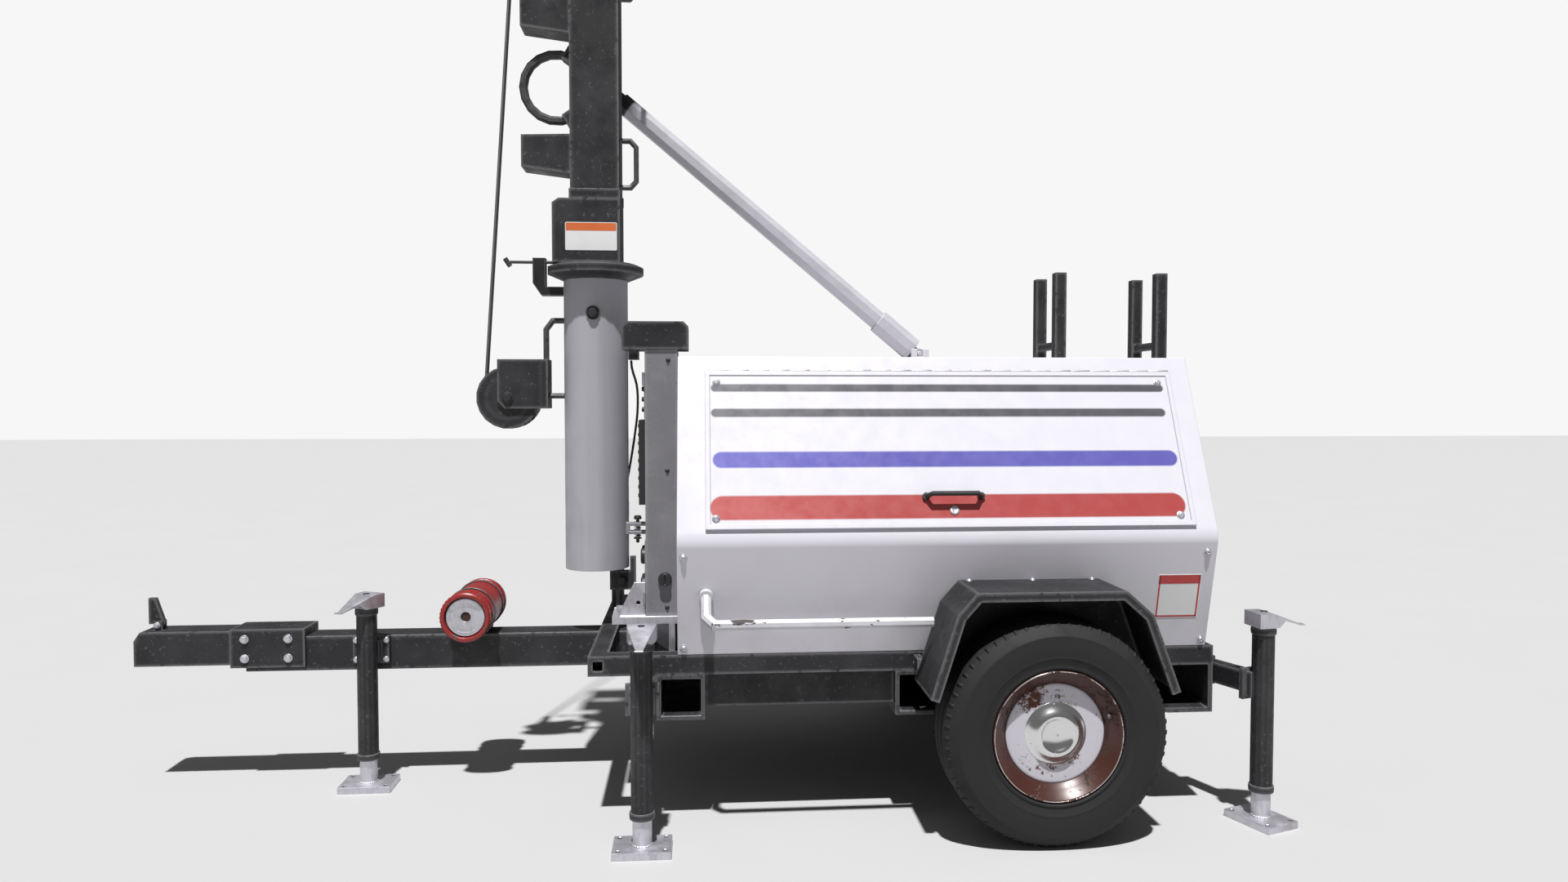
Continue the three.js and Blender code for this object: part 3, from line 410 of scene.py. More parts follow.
paints = {
    "frame": worn_paint("charcoal_paint", CHARCOAL, SMUDGE, EDGE),
    "cabinet": worn_paint(
        "cabinet_grey", (0.170, 0.166, 0.181), (0.210, 0.205, 0.222), (0.30, 0.29, 0.31), 0.5
    ),
    "body": smooth_paint("body_white", WHITE, DUST),
    "door": striped_door("door_white_with_bands", WHITE, DUST),
    "mast": tube_and_iron("mast_grey", (0.400, 0.392, 0.430), CHARCOAL, EDGE, -0.310, 0.100),
    "section": worn_paint(
        "mast_section_grey", (0.270, 0.265, 0.290), (0.20, 0.195, 0.21), (0.40, 0.39, 0.42)
    ),
    "steel": bare_steel("pale_zinc", STEEL, (0.27, 0.25, 0.26)),
    "strut": strut_finish("strut_grey", (0.50, 0.49, 0.53), CHARCOAL, 0.098),
    "rail": chipped_paint("chipped_pale_paint", (0.560, 0.550, 0.585), (0.06, 0.05, 0.05)),
    "disc": rusty("wheel_disc_silver", (0.50, 0.48, 0.53), RUST, 0.02, 0.10, 0.38, WHEEL_RUST),
    "barrel": rusty("wheel_barrel_rust", (0.052, 0.017, 0.012), (0.034, 0.014, 0.010), 0.06, 0.1, 0.34),
    "cap": rusty("hub_cap_bright", (0.74, 0.73, 0.73), RUST, -0.03, 1.0, 0.19, WHEEL_RUST),
    "lip": rusty("rim_lip_bright", (0.66, 0.60, 0.58), (0.060, 0.020, 0.014), 0.10, 0.9, 0.28),
    "tyre": rubber("tyre_black", (0.0065, 0.0065, 0.0076), (0.0150, 0.0147, 0.0156)),
    "red": scuffed_red("canister_red", (0.330, 0.022, 0.020), (0.105, 0.060, 0.055)),
    "black": moulded("moulded_black", (0.014, 0.014, 0.016)),
    "lamp": moulded("lamp_black_powder", (0.022, 0.022, 0.025), 0.5),
    "engine": worn_paint(
        "engine_green", (0.045, 0.105, 0.060), (0.030, 0.060, 0.040), (0.16, 0.17, 0.16), 0.4, 0.004
    ),
    "alternator": worn_paint(
        "alternator_grey", (0.14, 0.145, 0.16), (0.10, 0.10, 0.11), (0.30, 0.30, 0.31), 0.45, 0.004
    ),
    "exhaust": rusty("exhaust_steel", (0.20, 0.16, 0.14), RUST, 0.05, 0.6, 0.5),
    "radiator": ribbed("radiator_fins", (0.010, 0.010, 0.011), (0.030, 0.030, 0.032), 0.006),
    "sheath": moulded("cable_black", (0.018, 0.018, 0.020), 0.5),
    "rope": ribbed("wire_rope", (0.040, 0.038, 0.042), (0.120, 0.115, 0.125), 0.004),
    "glass": glass("lamp_glass", (0.90, 0.93, 0.95)),
    "mirror": bare_steel(
        "lamp_reflector", (0.86, 0.86, 0.88), (0.60, 0.60, 0.62), 0.14, (1.0, 1.0, 1.0), 1.0
    ),
    "plate": moulded("blank_plate_white", (0.66, 0.65, 0.66), 0.4, 0.2),
    "orange": moulded("blank_plate_orange", (0.56, 0.13, 0.035), 0.4, 0.2),
    "crimson": moulded("blank_plate_red", (0.42, 0.035, 0.035), 0.4, 0.2),
    "lens_red": moulded("tail_lens_red", (0.30, 0.008, 0.008), 0.18, 0.3),
    # Painted shade: near-black for the insides of openings and slots, which are dark only because little
    # light reaches them.
    "dark": moulded("painted_shade_black", (0.006, 0.006, 0.007), 0.7)
}


# ---- CAD nodes that stay: their material, and a fine rounded edge ----
CREASE_ANGLE = 32.0


def dress(name, paint, edge=0.0016):
    """Gives a CAD node its paint, joins its flat triangles, rounds its edges and smooths its shading."""
    node = NODES[name]
    node.data.materials.clear()
    node.data.materials.append(paints[paint])
    if "custom_normal" in node.data.attributes:
        node.data.attributes.remove(node.data.attributes["custom_normal"])
    node.data.polygons.foreach_set("use_smooth", [True] * len(node.data.polygons))
    weld = node.modifiers.new("weld", "WELD")
    weld.merge_threshold = 0.00005
    flat = node.modifiers.new("join_flats", "DECIMATE")
    flat.decimate_type = "DISSOLVE"
    flat.angle_limit = math.radians(0.6)
    rounded = node.modifiers.new("round_edges", "BEVEL")
    rounded.width = edge
    rounded.segments = 3
    rounded.limit_method = "ANGLE"
    rounded.angle_limit = math.radians(CREASE_ANGLE)
    split = node.modifiers.new("keep_creases", "EDGE_SPLIT")
    split.split_angle = math.radians(CREASE_ANGLE)
    split.use_edge_sharp = False
    node.modifiers.new("even_shading", "WEIGHTED_NORMAL").keep_sharp = False


def dress_all():
    frame_nodes = (
        "drawbar coupler_housing coupler_latch chassis_frame subframe axle_beam cradle_roof cradle_rear "
        "cabinet_hood mast_outer mast_middle winch_frame winch_drum enclosure_base fender_near fender_far"
    )
    chosen = {name: "frame" for name in frame_nodes.split()}
    chosen.update({f"{jack}_tube": "frame" for jack in JACKS})
    chosen.update({f"{jack}_leg": "steel" for jack in JACKS})
    chosen.update({f"{jack}_handle": "steel" for jack in JACKS})
    chosen.update({f"grab_rail_{side}": "rail" for side in SIDES})
    chosen.update({f"door_{side}": "door" for side in SIDES})
    chosen.update({f"door_handle_{side}": "black" for side in SIDES})
    chosen.update({f"floodlight_{i}": "lamp" for i in (1, 2, 3, 4)})
    chosen.update(enclosure_canopy="body", mast_base_tube="mast", mast_inner="section", strut="strut")
    chosen.update(cabinet_shelf="steel", control_cabinet="cabinet", isolator_knob="black")
    chosen.update(engine="engine", alternator="alternator", radiator="radiator", fuel_tank="black")
    chosen.update(battery="black", document_canister="red", release_cable="sheath", winch_cable="rope")
    for name, paint in chosen.items():
        dress(name, paint)
    for name in ("chassis_frame", "subframe", "drawbar", "axle_beam", "enclosure_canopy"):
        NODES[name].modifiers["round_edges"].width = 0.003


# ---- Mesh building ----
class Shape:
    """A mesh being built from closed parts, in metres in the part's frame."""

    def __init__(self):
        self.mesh = bmesh.new()

    def skin(self, rings, closed_across, place, cap=True):
        """Joins equal rings of points with quads; each ring closes on itself if closed_across is set."""
        rows = [[self.mesh.verts.new(place @ Vector(p)) for p in ring] for ring in rings]
        count = len(rows[0])
        last = count if closed_across else count - 1
        for below, above in zip(rows, rows[1:]):
            for i in range(last):
                j = (i + 1) % count
                self.mesh.faces.new((below[i], below[j], above[j], above[i]))
        if cap:
            self.mesh.faces.new(list(reversed(rows[0])))
            self.mesh.faces.new(rows[-1])

    def lathe(self, profile, place=Matrix(), steps=48, whole=False):
        """Turns (radius, height) pairs about local Z. A whole profile closes on itself; others are capped."""
        turn = [2 * math.pi * i / steps for i in range(steps)]
        rings = [[(r * math.cos(a), r * math.sin(a), height) for a in turn] for r, height in profile]
        if whole:
            rings.append(rings[0])
        self.skin(rings, True, place, cap=not whole)

    def block(self, low, high, place=Matrix()):
        (x0, y0, z0), (x1, y1, z1) = low, high
        ring = [(x0, y0), (x1, y0), (x1, y1), (x0, y1)]
        self.skin([[(x, y, z) for x, y in ring] for z in (z0, z1)], True, place)

    def outline(self, points, low, high, place=Matrix()):
        """Pushes an outline drawn in local XY along local Z."""
        self.skin([[(x, y, z) for x, y in points] for z in (low, high)], True, place)

    def tube(self, route, radius, sides=12, place=Matrix(), taper=None):
        """A round bar along a list of points; taper gives each point's share of the radius."""
        points = [Vector(p) for p in route]
        ways = [(b - a).normalized() for a, b in zip(points, points[1:])]
        normal = ways[0].orthogonal().normalized()
        rings = []
        for i, point in enumerate(points):
            way = ways[min(i, len(ways) - 1)] + ways[max(i - 1, 0)]
            way.normalize()
            normal = (normal - way * normal.dot(way)).normalized()
            other = way.cross(normal)
            size = radius * (taper[i] if taper else 1.0)
            turn = [2 * math.pi * k / sides for k in range(sides)]
            rings.append([point + size * (math.cos(a) * normal + math.sin(a) * other) for a in turn])
        self.skin(rings, True, place)

    def finish(self, name, body, paint, edge=0.0, smooth=True):
        bmesh.ops.remove_doubles(self.mesh, verts=self.mesh.verts, dist=1e-6)
        bmesh.ops.recalc_face_normals(self.mesh, faces=self.mesh.faces)
        data = bpy.data.meshes.new(name)
        self.mesh.to_mesh(data)
        self.mesh.free()
        piece = bpy.data.objects.new(name, data)
        bpy.context.scene.collection.objects.link(piece)
        data.materials.append(paints[paint])
        data.polygons.foreach_set("use_smooth", [smooth] * len(data.polygons))
        if edge:
            rounded = piece.modifiers.new("round_edges", "BEVEL")
            rounded.width = edge
            rounded.segments = 2
            rounded.limit_method = "ANGLE"
            rounded.angle_limit = math.radians(40.0)
        piece.modifiers.new("even_shading", "WEIGHTED_NORMAL").keep_sharp = False
        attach(piece, body)
        return piece


def at(*place):
    return Matrix.Translation(Vector(place))


def facing(place, way):
    """A local frame at a place, with its Z axis along a direction."""
    return at(*place) @ Vector(way).to_track_quat("Z", "Y").to_matrix().to_4x4()


def arc(centre, radius, start, end, count):
    """Points on an arc in the plane of the first two coordinates, in degrees."""
    angles = [math.radians(start + (end - start) * i / count) for i in range(count + 1)]
    return [(centre[0] + radius * math.cos(a), centre[1] + radius * math.sin(a)) for a in angles]


def curve(points, steps=6):
    """A smooth route through the points."""
    ends = [points[0]] + list(points) + [points[-1]]
    route = []
    for i in range(1, len(ends) - 2):
        before, first, second, after = (Vector(ends[i + k]) for k in (-1, 0, 1, 2))
        for step in range(steps):
            t = step / steps
            bend = (2 * before - 5 * first + 4 * second - after) * t * t
            twist = (3 * first - before - 3 * second + after) * t * t * t
            route.append((2 * first + (second - before) * t + bend + twist) / 2)
    return route + [Vector(points[-1])]


# ---- Wheels ----
AXLE = Vector((0.955, 0.0, 0.305))
WHEEL_Y = 0.640
TYRE_RADIUS = 0.305
TYRE_LUGS = 64


def tyre_profile():
    """(radius, height) round a tyre's section: beads, ribbed walls, rounded shoulders, three grooves."""
    side = [(0.1780, 0.080), (0.1800, 0.0885), (0.1860, 0.0900), (0.1880, 0.0872), (0.1950, 0.0885)]
    side += [(0.2080, 0.0925), (0.2100, 0.0938), (0.2130, 0.0938), (0.2150, 0.0928), (0.2250, 0.0948)]
    side += [(0.2500, 0.0948), (0.2640, 0.0935), (0.2660, 0.0942), (0.2690, 0.0938), (0.2710, 0.0915)]
    side += [(0.2860, 0.0820), (0.2950, 0.0730), (0.3000, 0.0630)]
    tread = [(0.3022, 0.0540)]
    for middle in (0.038, 0.0):
        tread += [(TYRE_RADIUS - 0.0006, middle + 0.0050), (0.2975, middle + 0.0034)]
        tread += [(0.2975, middle - 0.0034), (TYRE_RADIUS - 0.0006, middle - 0.0050)]
    half = side + tread
    kept = [p for p in half if p[1] > 0.0]
    return kept + [(r, -h) for r, h in reversed(kept)]


def wheel_place(side):
    """Local Z points out of the machine."""
    return facing((AXLE.x, SIDES[side] * WHEEL_Y, AXLE.z), (0.0, SIDES[side], 0.0))


def make_tyre(side):
    shape = Shape()
    place = wheel_place(side)
    shape.lathe(tyre_profile(), place, 128, whole=True)
    for i in range(TYRE_LUGS):
        turn = Matrix.Rotation(2 * math.pi * i / TYRE_LUGS, 4, "Z")
        for low, high in ((0.0625, 0.0760), (-0.0760, -0.0625)):
            lug = [(0.2860, -0.0045), (0.3032, -0.0045), (0.3032, 0.0045), (0.2860, 0.0045)]
            inner, outer = (low, high) if low > 0 else (high, low)
            rings = [[(x, y, inner) for x, y in lug], [(x - 0.0085 * (x > 0.3), y, outer) for x, y in lug]]
            shape.skin(rings, True, place @ turn)
    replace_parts(shape.finish(f"tyre_{side}_detailed", f"wheel_{side}", "tyre"), f"tyre_{side}")


def make_rim(side):
    """A conical barrel, a flat disc deep inside it, a dished bright cap and the hub behind."""
    place = wheel_place(side)
    body = f"wheel_{side}"
    barrel = Shape()
    lip = [
        (0.1345, 0.0520), (0.1500, 0.0640), (0.1640, 0.0790), (0.1680, 0.0845), (0.1705, 0.0870),
        (0.1735, 0.0878)
    ]
    back = [(0.1775, 0.0860), (0.1776, 0.0760), (0.1730, 0.0700), (0.1720, -0.0700), (0.1770, -0.0780)]
    inner = [(0.1776, -0.0860), (0.1735, -0.0880), (0.1680, -0.0840), (0.1640, -0.0700), (0.1600, -0.0200)]
    barrel.lathe(lip + back + inner + [(0.1590, 0.0300), (0.1345, 0.0440)], place, 96, whole=True)
    barrel_piece = barrel.finish(f"rim_barrel_{side}", body, "barrel")
    lip_ring = Shape()
    lip_ring.lathe(
        [(0.1712, 0.0866), (0.1722, 0.0882), (0.1738, 0.0886), (0.1748, 0.0872)], place, 96, whole=True
    )
    lip_ring.finish(f"rim_lip_{side}", body, "lip")
    disc = Shape()
    front = [(0.0700, 0.0530), (0.0850, 0.0545), (0.1270, 0.0545), (0.1325, 0.0535), (0.1342, 0.0515)]
    disc.lathe(
        front + [(0.1342, 0.0425), (0.1280, 0.0400), (0.0450, 0.0400), (0.0450, 0.0480)], place, 96,
        whole=True
    )
    disc.finish(f"rim_disc_{side}", body, "disc")
    cap = Shape()
    crown = [(0.0840, 0.0535), (0.0835, 0.0552), (0.0780, 0.0572), (0.0710, 0.0612), (0.0640, 0.0668)]
    crown += [(0.0570, 0.0722), (0.0500, 0.0748), (0.0450, 0.0738), (0.0410, 0.0700), (0.0340, 0.0660)]
    cap.lathe(crown + [(0.0220, 0.0634), (0.0110, 0.0626), (0.0030, 0.0624)], place, 72)
    cap.finish(f"hub_cap_{side}", body, "cap")
    hub = Shape()
    hub.lathe(
        [(0.0262, -0.0350), (0.0440, -0.0350), (0.0440, 0.0500), (0.0262, 0.0500)], place, 32, whole=True
    )
    hub.tube([(0.143, 0.050, 0.050), (0.141, 0.050, 0.066), (0.136, 0.048, 0.082)], 0.0042, 10, place)
    hub.finish(f"wheel_hub_{side}", body, "frame", 0.001)
    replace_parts(barrel_piece, f"wheel_rim_{side}")


def make_wheels():
    for side in SIDES:
        make_tyre(side)
        make_rim(side)


def make_floor():
    surface = Surface("studio_floor", 0.9)
    pale = surface.mix(surface.noise(1.5, 4.0), (0.425, 0.425, 0.425), (0.405, 0.405, 0.41))
    data = bpy.data.meshes.new("floor")
    half = FLOOR_SIZE / 2
    corners = [(-half, -half, 0), (half, -half, 0), (half, half, 0), (-half, half, 0)]
    data.from_pydata(corners, [], [(0, 1, 2, 3)])
    data.materials.append(surface.done(pale))
    floor = bpy.data.objects.new("floor", data)
    bpy.context.scene.collection.objects.link(floor)


# ---- Fasteners and plates ----
LOW_WALL = (Vector((0.475, 0.481)), Vector((0.545, 0.787)))
DOOR_SCREWS = ((0.064, 0.035), (1.368, 0.035), (0.060, 0.446), (1.368, 0.446))
WALL_SCREWS = ((-0.030, 0.762), (1.444, 0.762), (-0.030, 0.500), (1.455, 0.500))


def door_place(side, x, down, lift=0.0064):
    """A frame on a door's field, with Z along the outward normal."""
    across = math.cos(SLOPE_ANGLE) * down
    y = 0.34068 + across + math.sin(SLOPE_ANGLE) * lift
    z = DOOR_TOP - math.sin(SLOPE_ANGLE) * down + math.cos(SLOPE_ANGLE) * lift
    sign = SIDES[side]
    return facing((x, sign * y, z), (0.0, sign * math.sin(SLOPE_ANGLE), math.cos(SLOPE_ANGLE)))


def wall_place(side, x, z):
    """A frame on the lower side wall, which leans outwards as it rises."""
    foot, head = LOW_WALL
    share = (z - foot[1]) / (head[1] - foot[1])
    y = foot[0] + share * (head[0] - foot[0])
    rise = (head - foot).normalized()
    sign = SIDES[side]
    return facing((x, sign * y, z), (0.0, sign * rise[1], -rise[0]))


def dome_screw(shape, place, radius=0.0085, height=0.0055):
    """A domed head on a washer, with a cross recess left as a small pit."""
    washer = radius * 1.35
    profile = [(washer, -0.0006), (washer, 0.0012), (radius, 0.0014), (radius, 0.0022)]
    profile += [(radius * math.cos(a), 0.0022 + height * math.sin(a)) for a in (0.35, 0.75, 1.15)]
    profile += [
        (radius * 0.30, 0.0022 + height * 0.98), (radius * 0.22, height * 0.75),
        (radius * 0.08, height * 0.7)
    ]
    shape.lathe(profile, place, 24)


def hex_bolt(shape, place, across=0.019, height=0.009, washer=True):
    """A bolt head with a chamfered top, on a washer."""
    radius = across / math.sqrt(3.0)
    if washer:
        shape.lathe([(radius * 1.35, -0.0005), (radius * 1.35, 0.002), (radius * 0.8, 0.002)], place, 24)
    rings = []
    for size, z in ((1.0, 0.0015), (1.0, height * 0.85), (0.88, height)):
        turns = [math.pi * i / 3 for i in range(6)]
        rings.append([(radius * size * math.cos(a), radius * size * math.sin(a), z) for a in turns])
    shape.skin(rings, True, place)


def make_screws():
    for side in SIDES:
        shape = Shape()
        for x, down in DOOR_SCREWS:
            dome_screw(shape, door_place(side, x, down))
        shape.finish(f"door_screws_{side}", f"door_{side}", "steel")
    walls = Shape()
    for side in SIDES:
        for x, z in WALL_SCREWS:
            dome_screw(walls, wall_place(side, x, z))
    for y in (-0.40, -0.14, 0.14, 0.40):
        for z in (0.520, 0.780):
            dome_screw(walls, facing((1.472, y, z), (1, 0, 0)))
    walls.finish("canopy_screws", "chassis", "steel")
    cabinet = Shape()
    for x, z in ((-0.0745, 1.305), (-0.078, 0.985), (-0.080, 0.585)):
        dome_screw(cabinet, facing((x, -0.320, z), (0, -1, 0)), 0.0048, 0.0036)
    cabinet.finish("cabinet_screws", "chassis", "black")


def blank_plate(name, body, place, width, height, band, paint, border=0.0):
    """A thin plate with a plain coloured band or border, and no lettering."""
    def corners(w, h, r=0.004):
        points = []
        for cx, cy, start in (
            (w - r, h - r, 0), (r - w, h - r, 90), (r - w, r - h, 180), (w - r, r - h, 270)
        ):
            points += arc((cx, cy), r, start, start + 90, 4)
        return points

    sheet = Shape()
    sheet.outline(corners(width / 2, height / 2), -0.0002, 0.0008, place)
    sheet.finish(name, body, "plate", 0.0002)
    print_shape = Shape()
    top = height / 2 - 0.002 - band / 2
    print_shape.outline(corners(width / 2 - 0.002, band / 2, 0.002), 0.0006, 0.0011, place @ at(0, top, 0))
    if border:
        for sign in (-1, 1):
            upright = corners(border / 2, height / 2 - 0.003, 0.001)
            print_shape.outline(upright, 0.0006, 0.0011, place @ at(sign * (width / 2 - border), 0, 0))
        foot = corners(width / 2 - 0.004, border / 2, 0.001)
        print_shape.outline(foot, 0.0006, 0.0011, place @ at(0, border - height / 2, 0))
    print_shape.finish(f"{name}_band", body, paint)


def make_plates():
    mast = Matrix(((1, 0, 0, -0.3155), (0, 0, -1, -0.0842), (0, 1, 0, 1.694), (0, 0, 0, 1)))
    blank_plate("mast_plate", "mast", mast, 0.158, 0.086, 0.024, "orange")
    rise = (LOW_WALL[1] - LOW_WALL[0]).normalized()
    middle = wall_place("near", 1.372, 0.632).translation
    along = (Vector((1, 0, 0)), Vector((0, -rise[0], rise[1])), Vector((0, -rise[1], -rise[0])))
    wall = Matrix([[along[c][r] for c in range(3)] + [middle[r]] for r in range(3)] + [[0, 0, 0, 1]])
    blank_plate("rear_side_plate", "chassis", wall, 0.126, 0.132, 0.026, "crimson", 0.005)


def make_catch_spring():
    """The sprung plunger between the two catch bars on the cabinet."""
    x, y = -0.171, -0.200
    coil = Shape()
    turns, count = 5, 100
    start, end = 0.7735, 0.8115
    points = []
    for i in range(count + 1):
        angle = 2 * math.pi * turns * i / count
        points.append(
            (x + 0.0085 * math.cos(angle), y + 0.0085 * math.sin(angle), start + (end - start) * i / count)
        )
    coil.tube(points, 0.0019, 8)
    coil.finish("catch_spring", "chassis", "steel")
    pin = Shape()
    pin.lathe(
        [
            (0.0045, 0.760), (0.0052, 0.764), (0.0052, 0.7715), (0.0125, 0.772), (0.0125, 0.7745),
            (0.0050, 0.775), (0.0050, 0.830), (0.0110, 0.831), (0.0120, 0.836), (0.0090, 0.842)
        ],
        at(x, y, 0), 24
    )
    pin.finish("catch_plunger", "chassis", "black", 0.0004)


# ---- Document canister ----
CANISTER = {"x": -0.691, "z": 0.534, "radius": 0.072, "near": -0.175, "far": 0.118}


def make_canister():
    c = CANISTER
    place = facing((c["x"], 0.0, c["z"]), (0, -1, 0))
    near, far, radius = -c["near"], -c["far"], c["radius"]
    body = Shape()
    profile = [(radius * 0.6, far), (radius - 0.004, far), (radius, far + 0.004), (radius, far + 0.018)]
    profile += [(radius + 0.003, far + 0.020), (radius + 0.003, far + 0.034), (radius, far + 0.036)]
    profile += [
        (radius - 0.001, near - 0.066), (radius + 0.003, near - 0.062), (radius + 0.003, near - 0.044)
    ]
    profile += [(radius, near - 0.040), (radius, near - 0.024), (radius + 0.003, near - 0.020)]
    profile += [(radius + 0.003, near - 0.004), (radius - 0.001, near), (radius - 0.009, near)]
    profile += [(radius - 0.011, near - 0.003), (radius - 0.011, near - 0.030), (radius * 0.4, near - 0.030)]
    body.lathe(profile, place, 72)
    for i in range(36):
        turn = Matrix.Rotation(2 * math.pi * i / 36, 4, "Z")
        low, high = (radius - 0.002, -0.0028, near - 0.0185), (radius + 0.0044, 0.0028, near - 0.0055)
        body.block(low, high, place @ turn)
    piece = body.finish("canister_body", "chassis", "red", 0.0006)
    cradle = Shape()
    upright = Matrix(((1, 0, 0, c["x"]), (0, 0, 1, 0), (0, 1, 0, c["z"]), (0, 0, 0, 1)))
    outline = [
        (-0.042, -0.0747), (0.042, -0.0747), (0.048, -0.050)
    ] + arc((0, 0), radius + 0.0006, -40, -140, 12) + [(-0.048, -0.050)]
    cradle.outline(outline, -0.040, 0.040, upright)
    for y in (-0.086, 0.052):
        strap = arc((0, 0), radius + 0.0022, -150, 330, 60)[:49]
        cradle.tube([(c["x"] + a, y, c["z"] + b) for a, b in strap], 0.0026, 8)
    cradle.finish("canister_cradle", "chassis", "frame", 0.001)
    lid = Shape()
    rim = radius - 0.0125
    lid.lathe(
        [
            (rim, near - 0.0295), (rim, near - 0.012), (rim - 0.004, near - 0.006),
            (rim - 0.012, near - 0.011), (rim - 0.020, near - 0.0135), (0.018, near - 0.0135),
            (0.0155, near - 0.0125), (0.0145, near - 0.0150), (0.0140, near - 0.0240),
            (0.0020, near - 0.0240)
        ],
        place, 64
    )
    lid.finish("canister_lid", "chassis", "steel")
    plug = Shape()
    plug.lathe(
        [
            (0.0136, near - 0.0235), (0.0136, near - 0.0180), (0.0110, near - 0.0165),
            (0.0030, near - 0.0172)
        ],
        place, 32
    )
    plug.finish("canister_plug", "chassis", "barrel")
    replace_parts(piece, "document_canister")


# ---- Mast head, lamps and winch ----
LAMP_Y = (-0.490, -0.170, 0.170, 0.490)
MAST_X = -0.305
GUIDE_HALF = 0.0785
HEAD_SHEAVE = (-0.422, 0.0, 3.900)
LAMP_Z = 4.165


def make_lamp(number, y):
    """Bezel, glass, reflector, lamp tube, fins and pivot bolts of one floodlight, which faces the hitch."""
    body = f"floodlight_{number}"
    x = MAST_X

    def frame_ring(half_y, z0, z1, x0, x1, shape):
        shape.block((x0, y - half_y, z0), (x1, y + half_y, z0 + 0.014))
        shape.block((x0, y - half_y, z1 - 0.014), (x1, y + half_y, z1))
        for sign in (-1, 1):
            edges = sorted((sign * half_y, sign * (half_y - 0.014)))
            shape.block((x0, y + edges[0], z0 + 0.013), (x1, y + edges[1], z1 - 0.013))

    z0, z1 = LAMP_Z + 0.060, LAMP_Z + 0.260
    bezel = Shape()
    frame_ring(0.121, z0 - 0.002, z1 + 0.002, x - 0.0905, x - 0.0845, bezel)
    bezel.finish(f"{body}_bezel", body, "steel", 0.0012)
    glass_pane = Shape()
    glass_pane.block((x - 0.0875, y - 0.117, z0 + 0.002), (x - 0.0845, y + 0.117, z1 - 0.002))
    glass_pane.finish(f"{body}_glass", body, "glass", 0.0006)
    mirror = Shape()
    section = [
        (-0.100, 0.0165), (-0.070, 0.006), (-0.030, 0.0015), (0.030, 0.0015), (0.070, 0.006),
        (0.100, 0.0165)
    ]
    section += [
        (0.100, 0.0150), (0.070, 0.0045), (0.030, 0.0), (-0.030, 0.0), (-0.070, 0.0045), (-0.100, 0.0150)
    ]
    upright = Matrix(((0, -1, 0, x - 0.0655), (1, 0, 0, y), (0, 0, 1, 0), (0, 0, 0, 1)))
    mirror.outline(section, z0 + 0.006, z1 - 0.006, upright)
    mirror.finish(f"{body}_reflector", body, "mirror")
    bulb = Shape()
    middle = (z0 + z1) / 2
    bulb.tube([(x - 0.078, y - 0.052, middle), (x - 0.078, y + 0.052, middle)], 0.0045, 16)
    for sign in (-1, 1):
        bulb.tube([(x - 0.078, y + sign * 0.050, middle), (x - 0.078, y + sign * 0.066, middle)], 0.0068, 16)
    bulb.finish(f"{body}_lamp_tube", body, "plate", 0.0008)
    fins = Shape()
    for i in range(9):
        across = y - 0.104 + 0.026 * i
        ring = [
            (-0.050, 0.262), (0.024, 0.246), (0.066, 0.2035), (0.0705, 0.2035), (0.027, 0.254),
            (-0.050, 0.274)
        ]
        lower = [(0.058, 0.110), (0.058, 0.208), (0.070, 0.208), (0.070, 0.110)]
        side = Matrix(((1, 0, 0, x), (0, 0, 1, across), (0, 1, 0, LAMP_Z), (0, 0, 0, 1)))
        fins.outline(ring, -0.0016, 0.0016, side)
        fins.outline(lower, -0.0016, 0.0016, side)
    fins.finish(f"{body}_fins", body, "lamp")
    bolts = Shape()
    for sign in (-1, 1):
        hex_bolt(bolts, facing((x, y + sign * 0.0425, LAMP_Z), (0, sign, 0)), 0.017, 0.008)
    bolts.finish(f"{body}_bolts", "mast_inner", "steel")


def make_mast_details():
    for number, y in enumerate(LAMP_Y, 1):
        make_lamp(number, y)
    guides = Shape()
    half = GUIDE_HALF
    for z in (3.928, 1.826):
        for sign in (-1, 1):
            guides.block(
                (MAST_X - half, sign * 0.0745, z - 0.016),
                (MAST_X + half, sign * (0.0745 + 0.006), z + 0.016)
            )
    guides.finish("mast_guide_bands", "mast", "frame", 0.0012)
    wear = Shape()
    for sign in (-1, 1):
        low, high = sorted((sign * 0.0575, sign * 0.0585))
        wear.block((MAST_X - 0.030, low, 3.940), (MAST_X + 0.030, high, 3.984))
    wear.finish("mast_wear_pads", "mast_middle", "plate", 0.0005)
    head = Shape()
    sheave = facing(HEAD_SHEAVE, (0, 1, 0))
    for h in (-0.0105, 0.0070):
        head.lathe(
            [
                (0.004, h), (0.046, h), (0.0475, h + 0.0012), (0.0475, h + 0.0023), (0.046, h + 0.0035),
                (0.004, h + 0.0035)
            ],
            sheave, 40
        )
    hex_bolt(head, facing((HEAD_SHEAVE[0], -0.0105, HEAD_SHEAVE[2]), (0, -1, 0)), 0.017, 0.008)
    head.finish("head_sheave_flanges", "mast", "frame", 0.0005)
    bolt = Shape()
    hex_bolt(bolt, facing((-0.310, -0.1028, 1.458), (0, -1, 0)), 0.026, 0.010, False)
    hex_bolt(bolt, facing((-0.230, -0.0098, 0.615), (0, -1, 0)), 0.019, 0.009)
    bolt.finish("pivot_bolt_heads", "mast", "black")


WINCH_AXIS = (-0.581, 1.197)
RATCHET_TEETH = 36
ROPE_TURNS = 9
ROPE_LAY = 0.0710


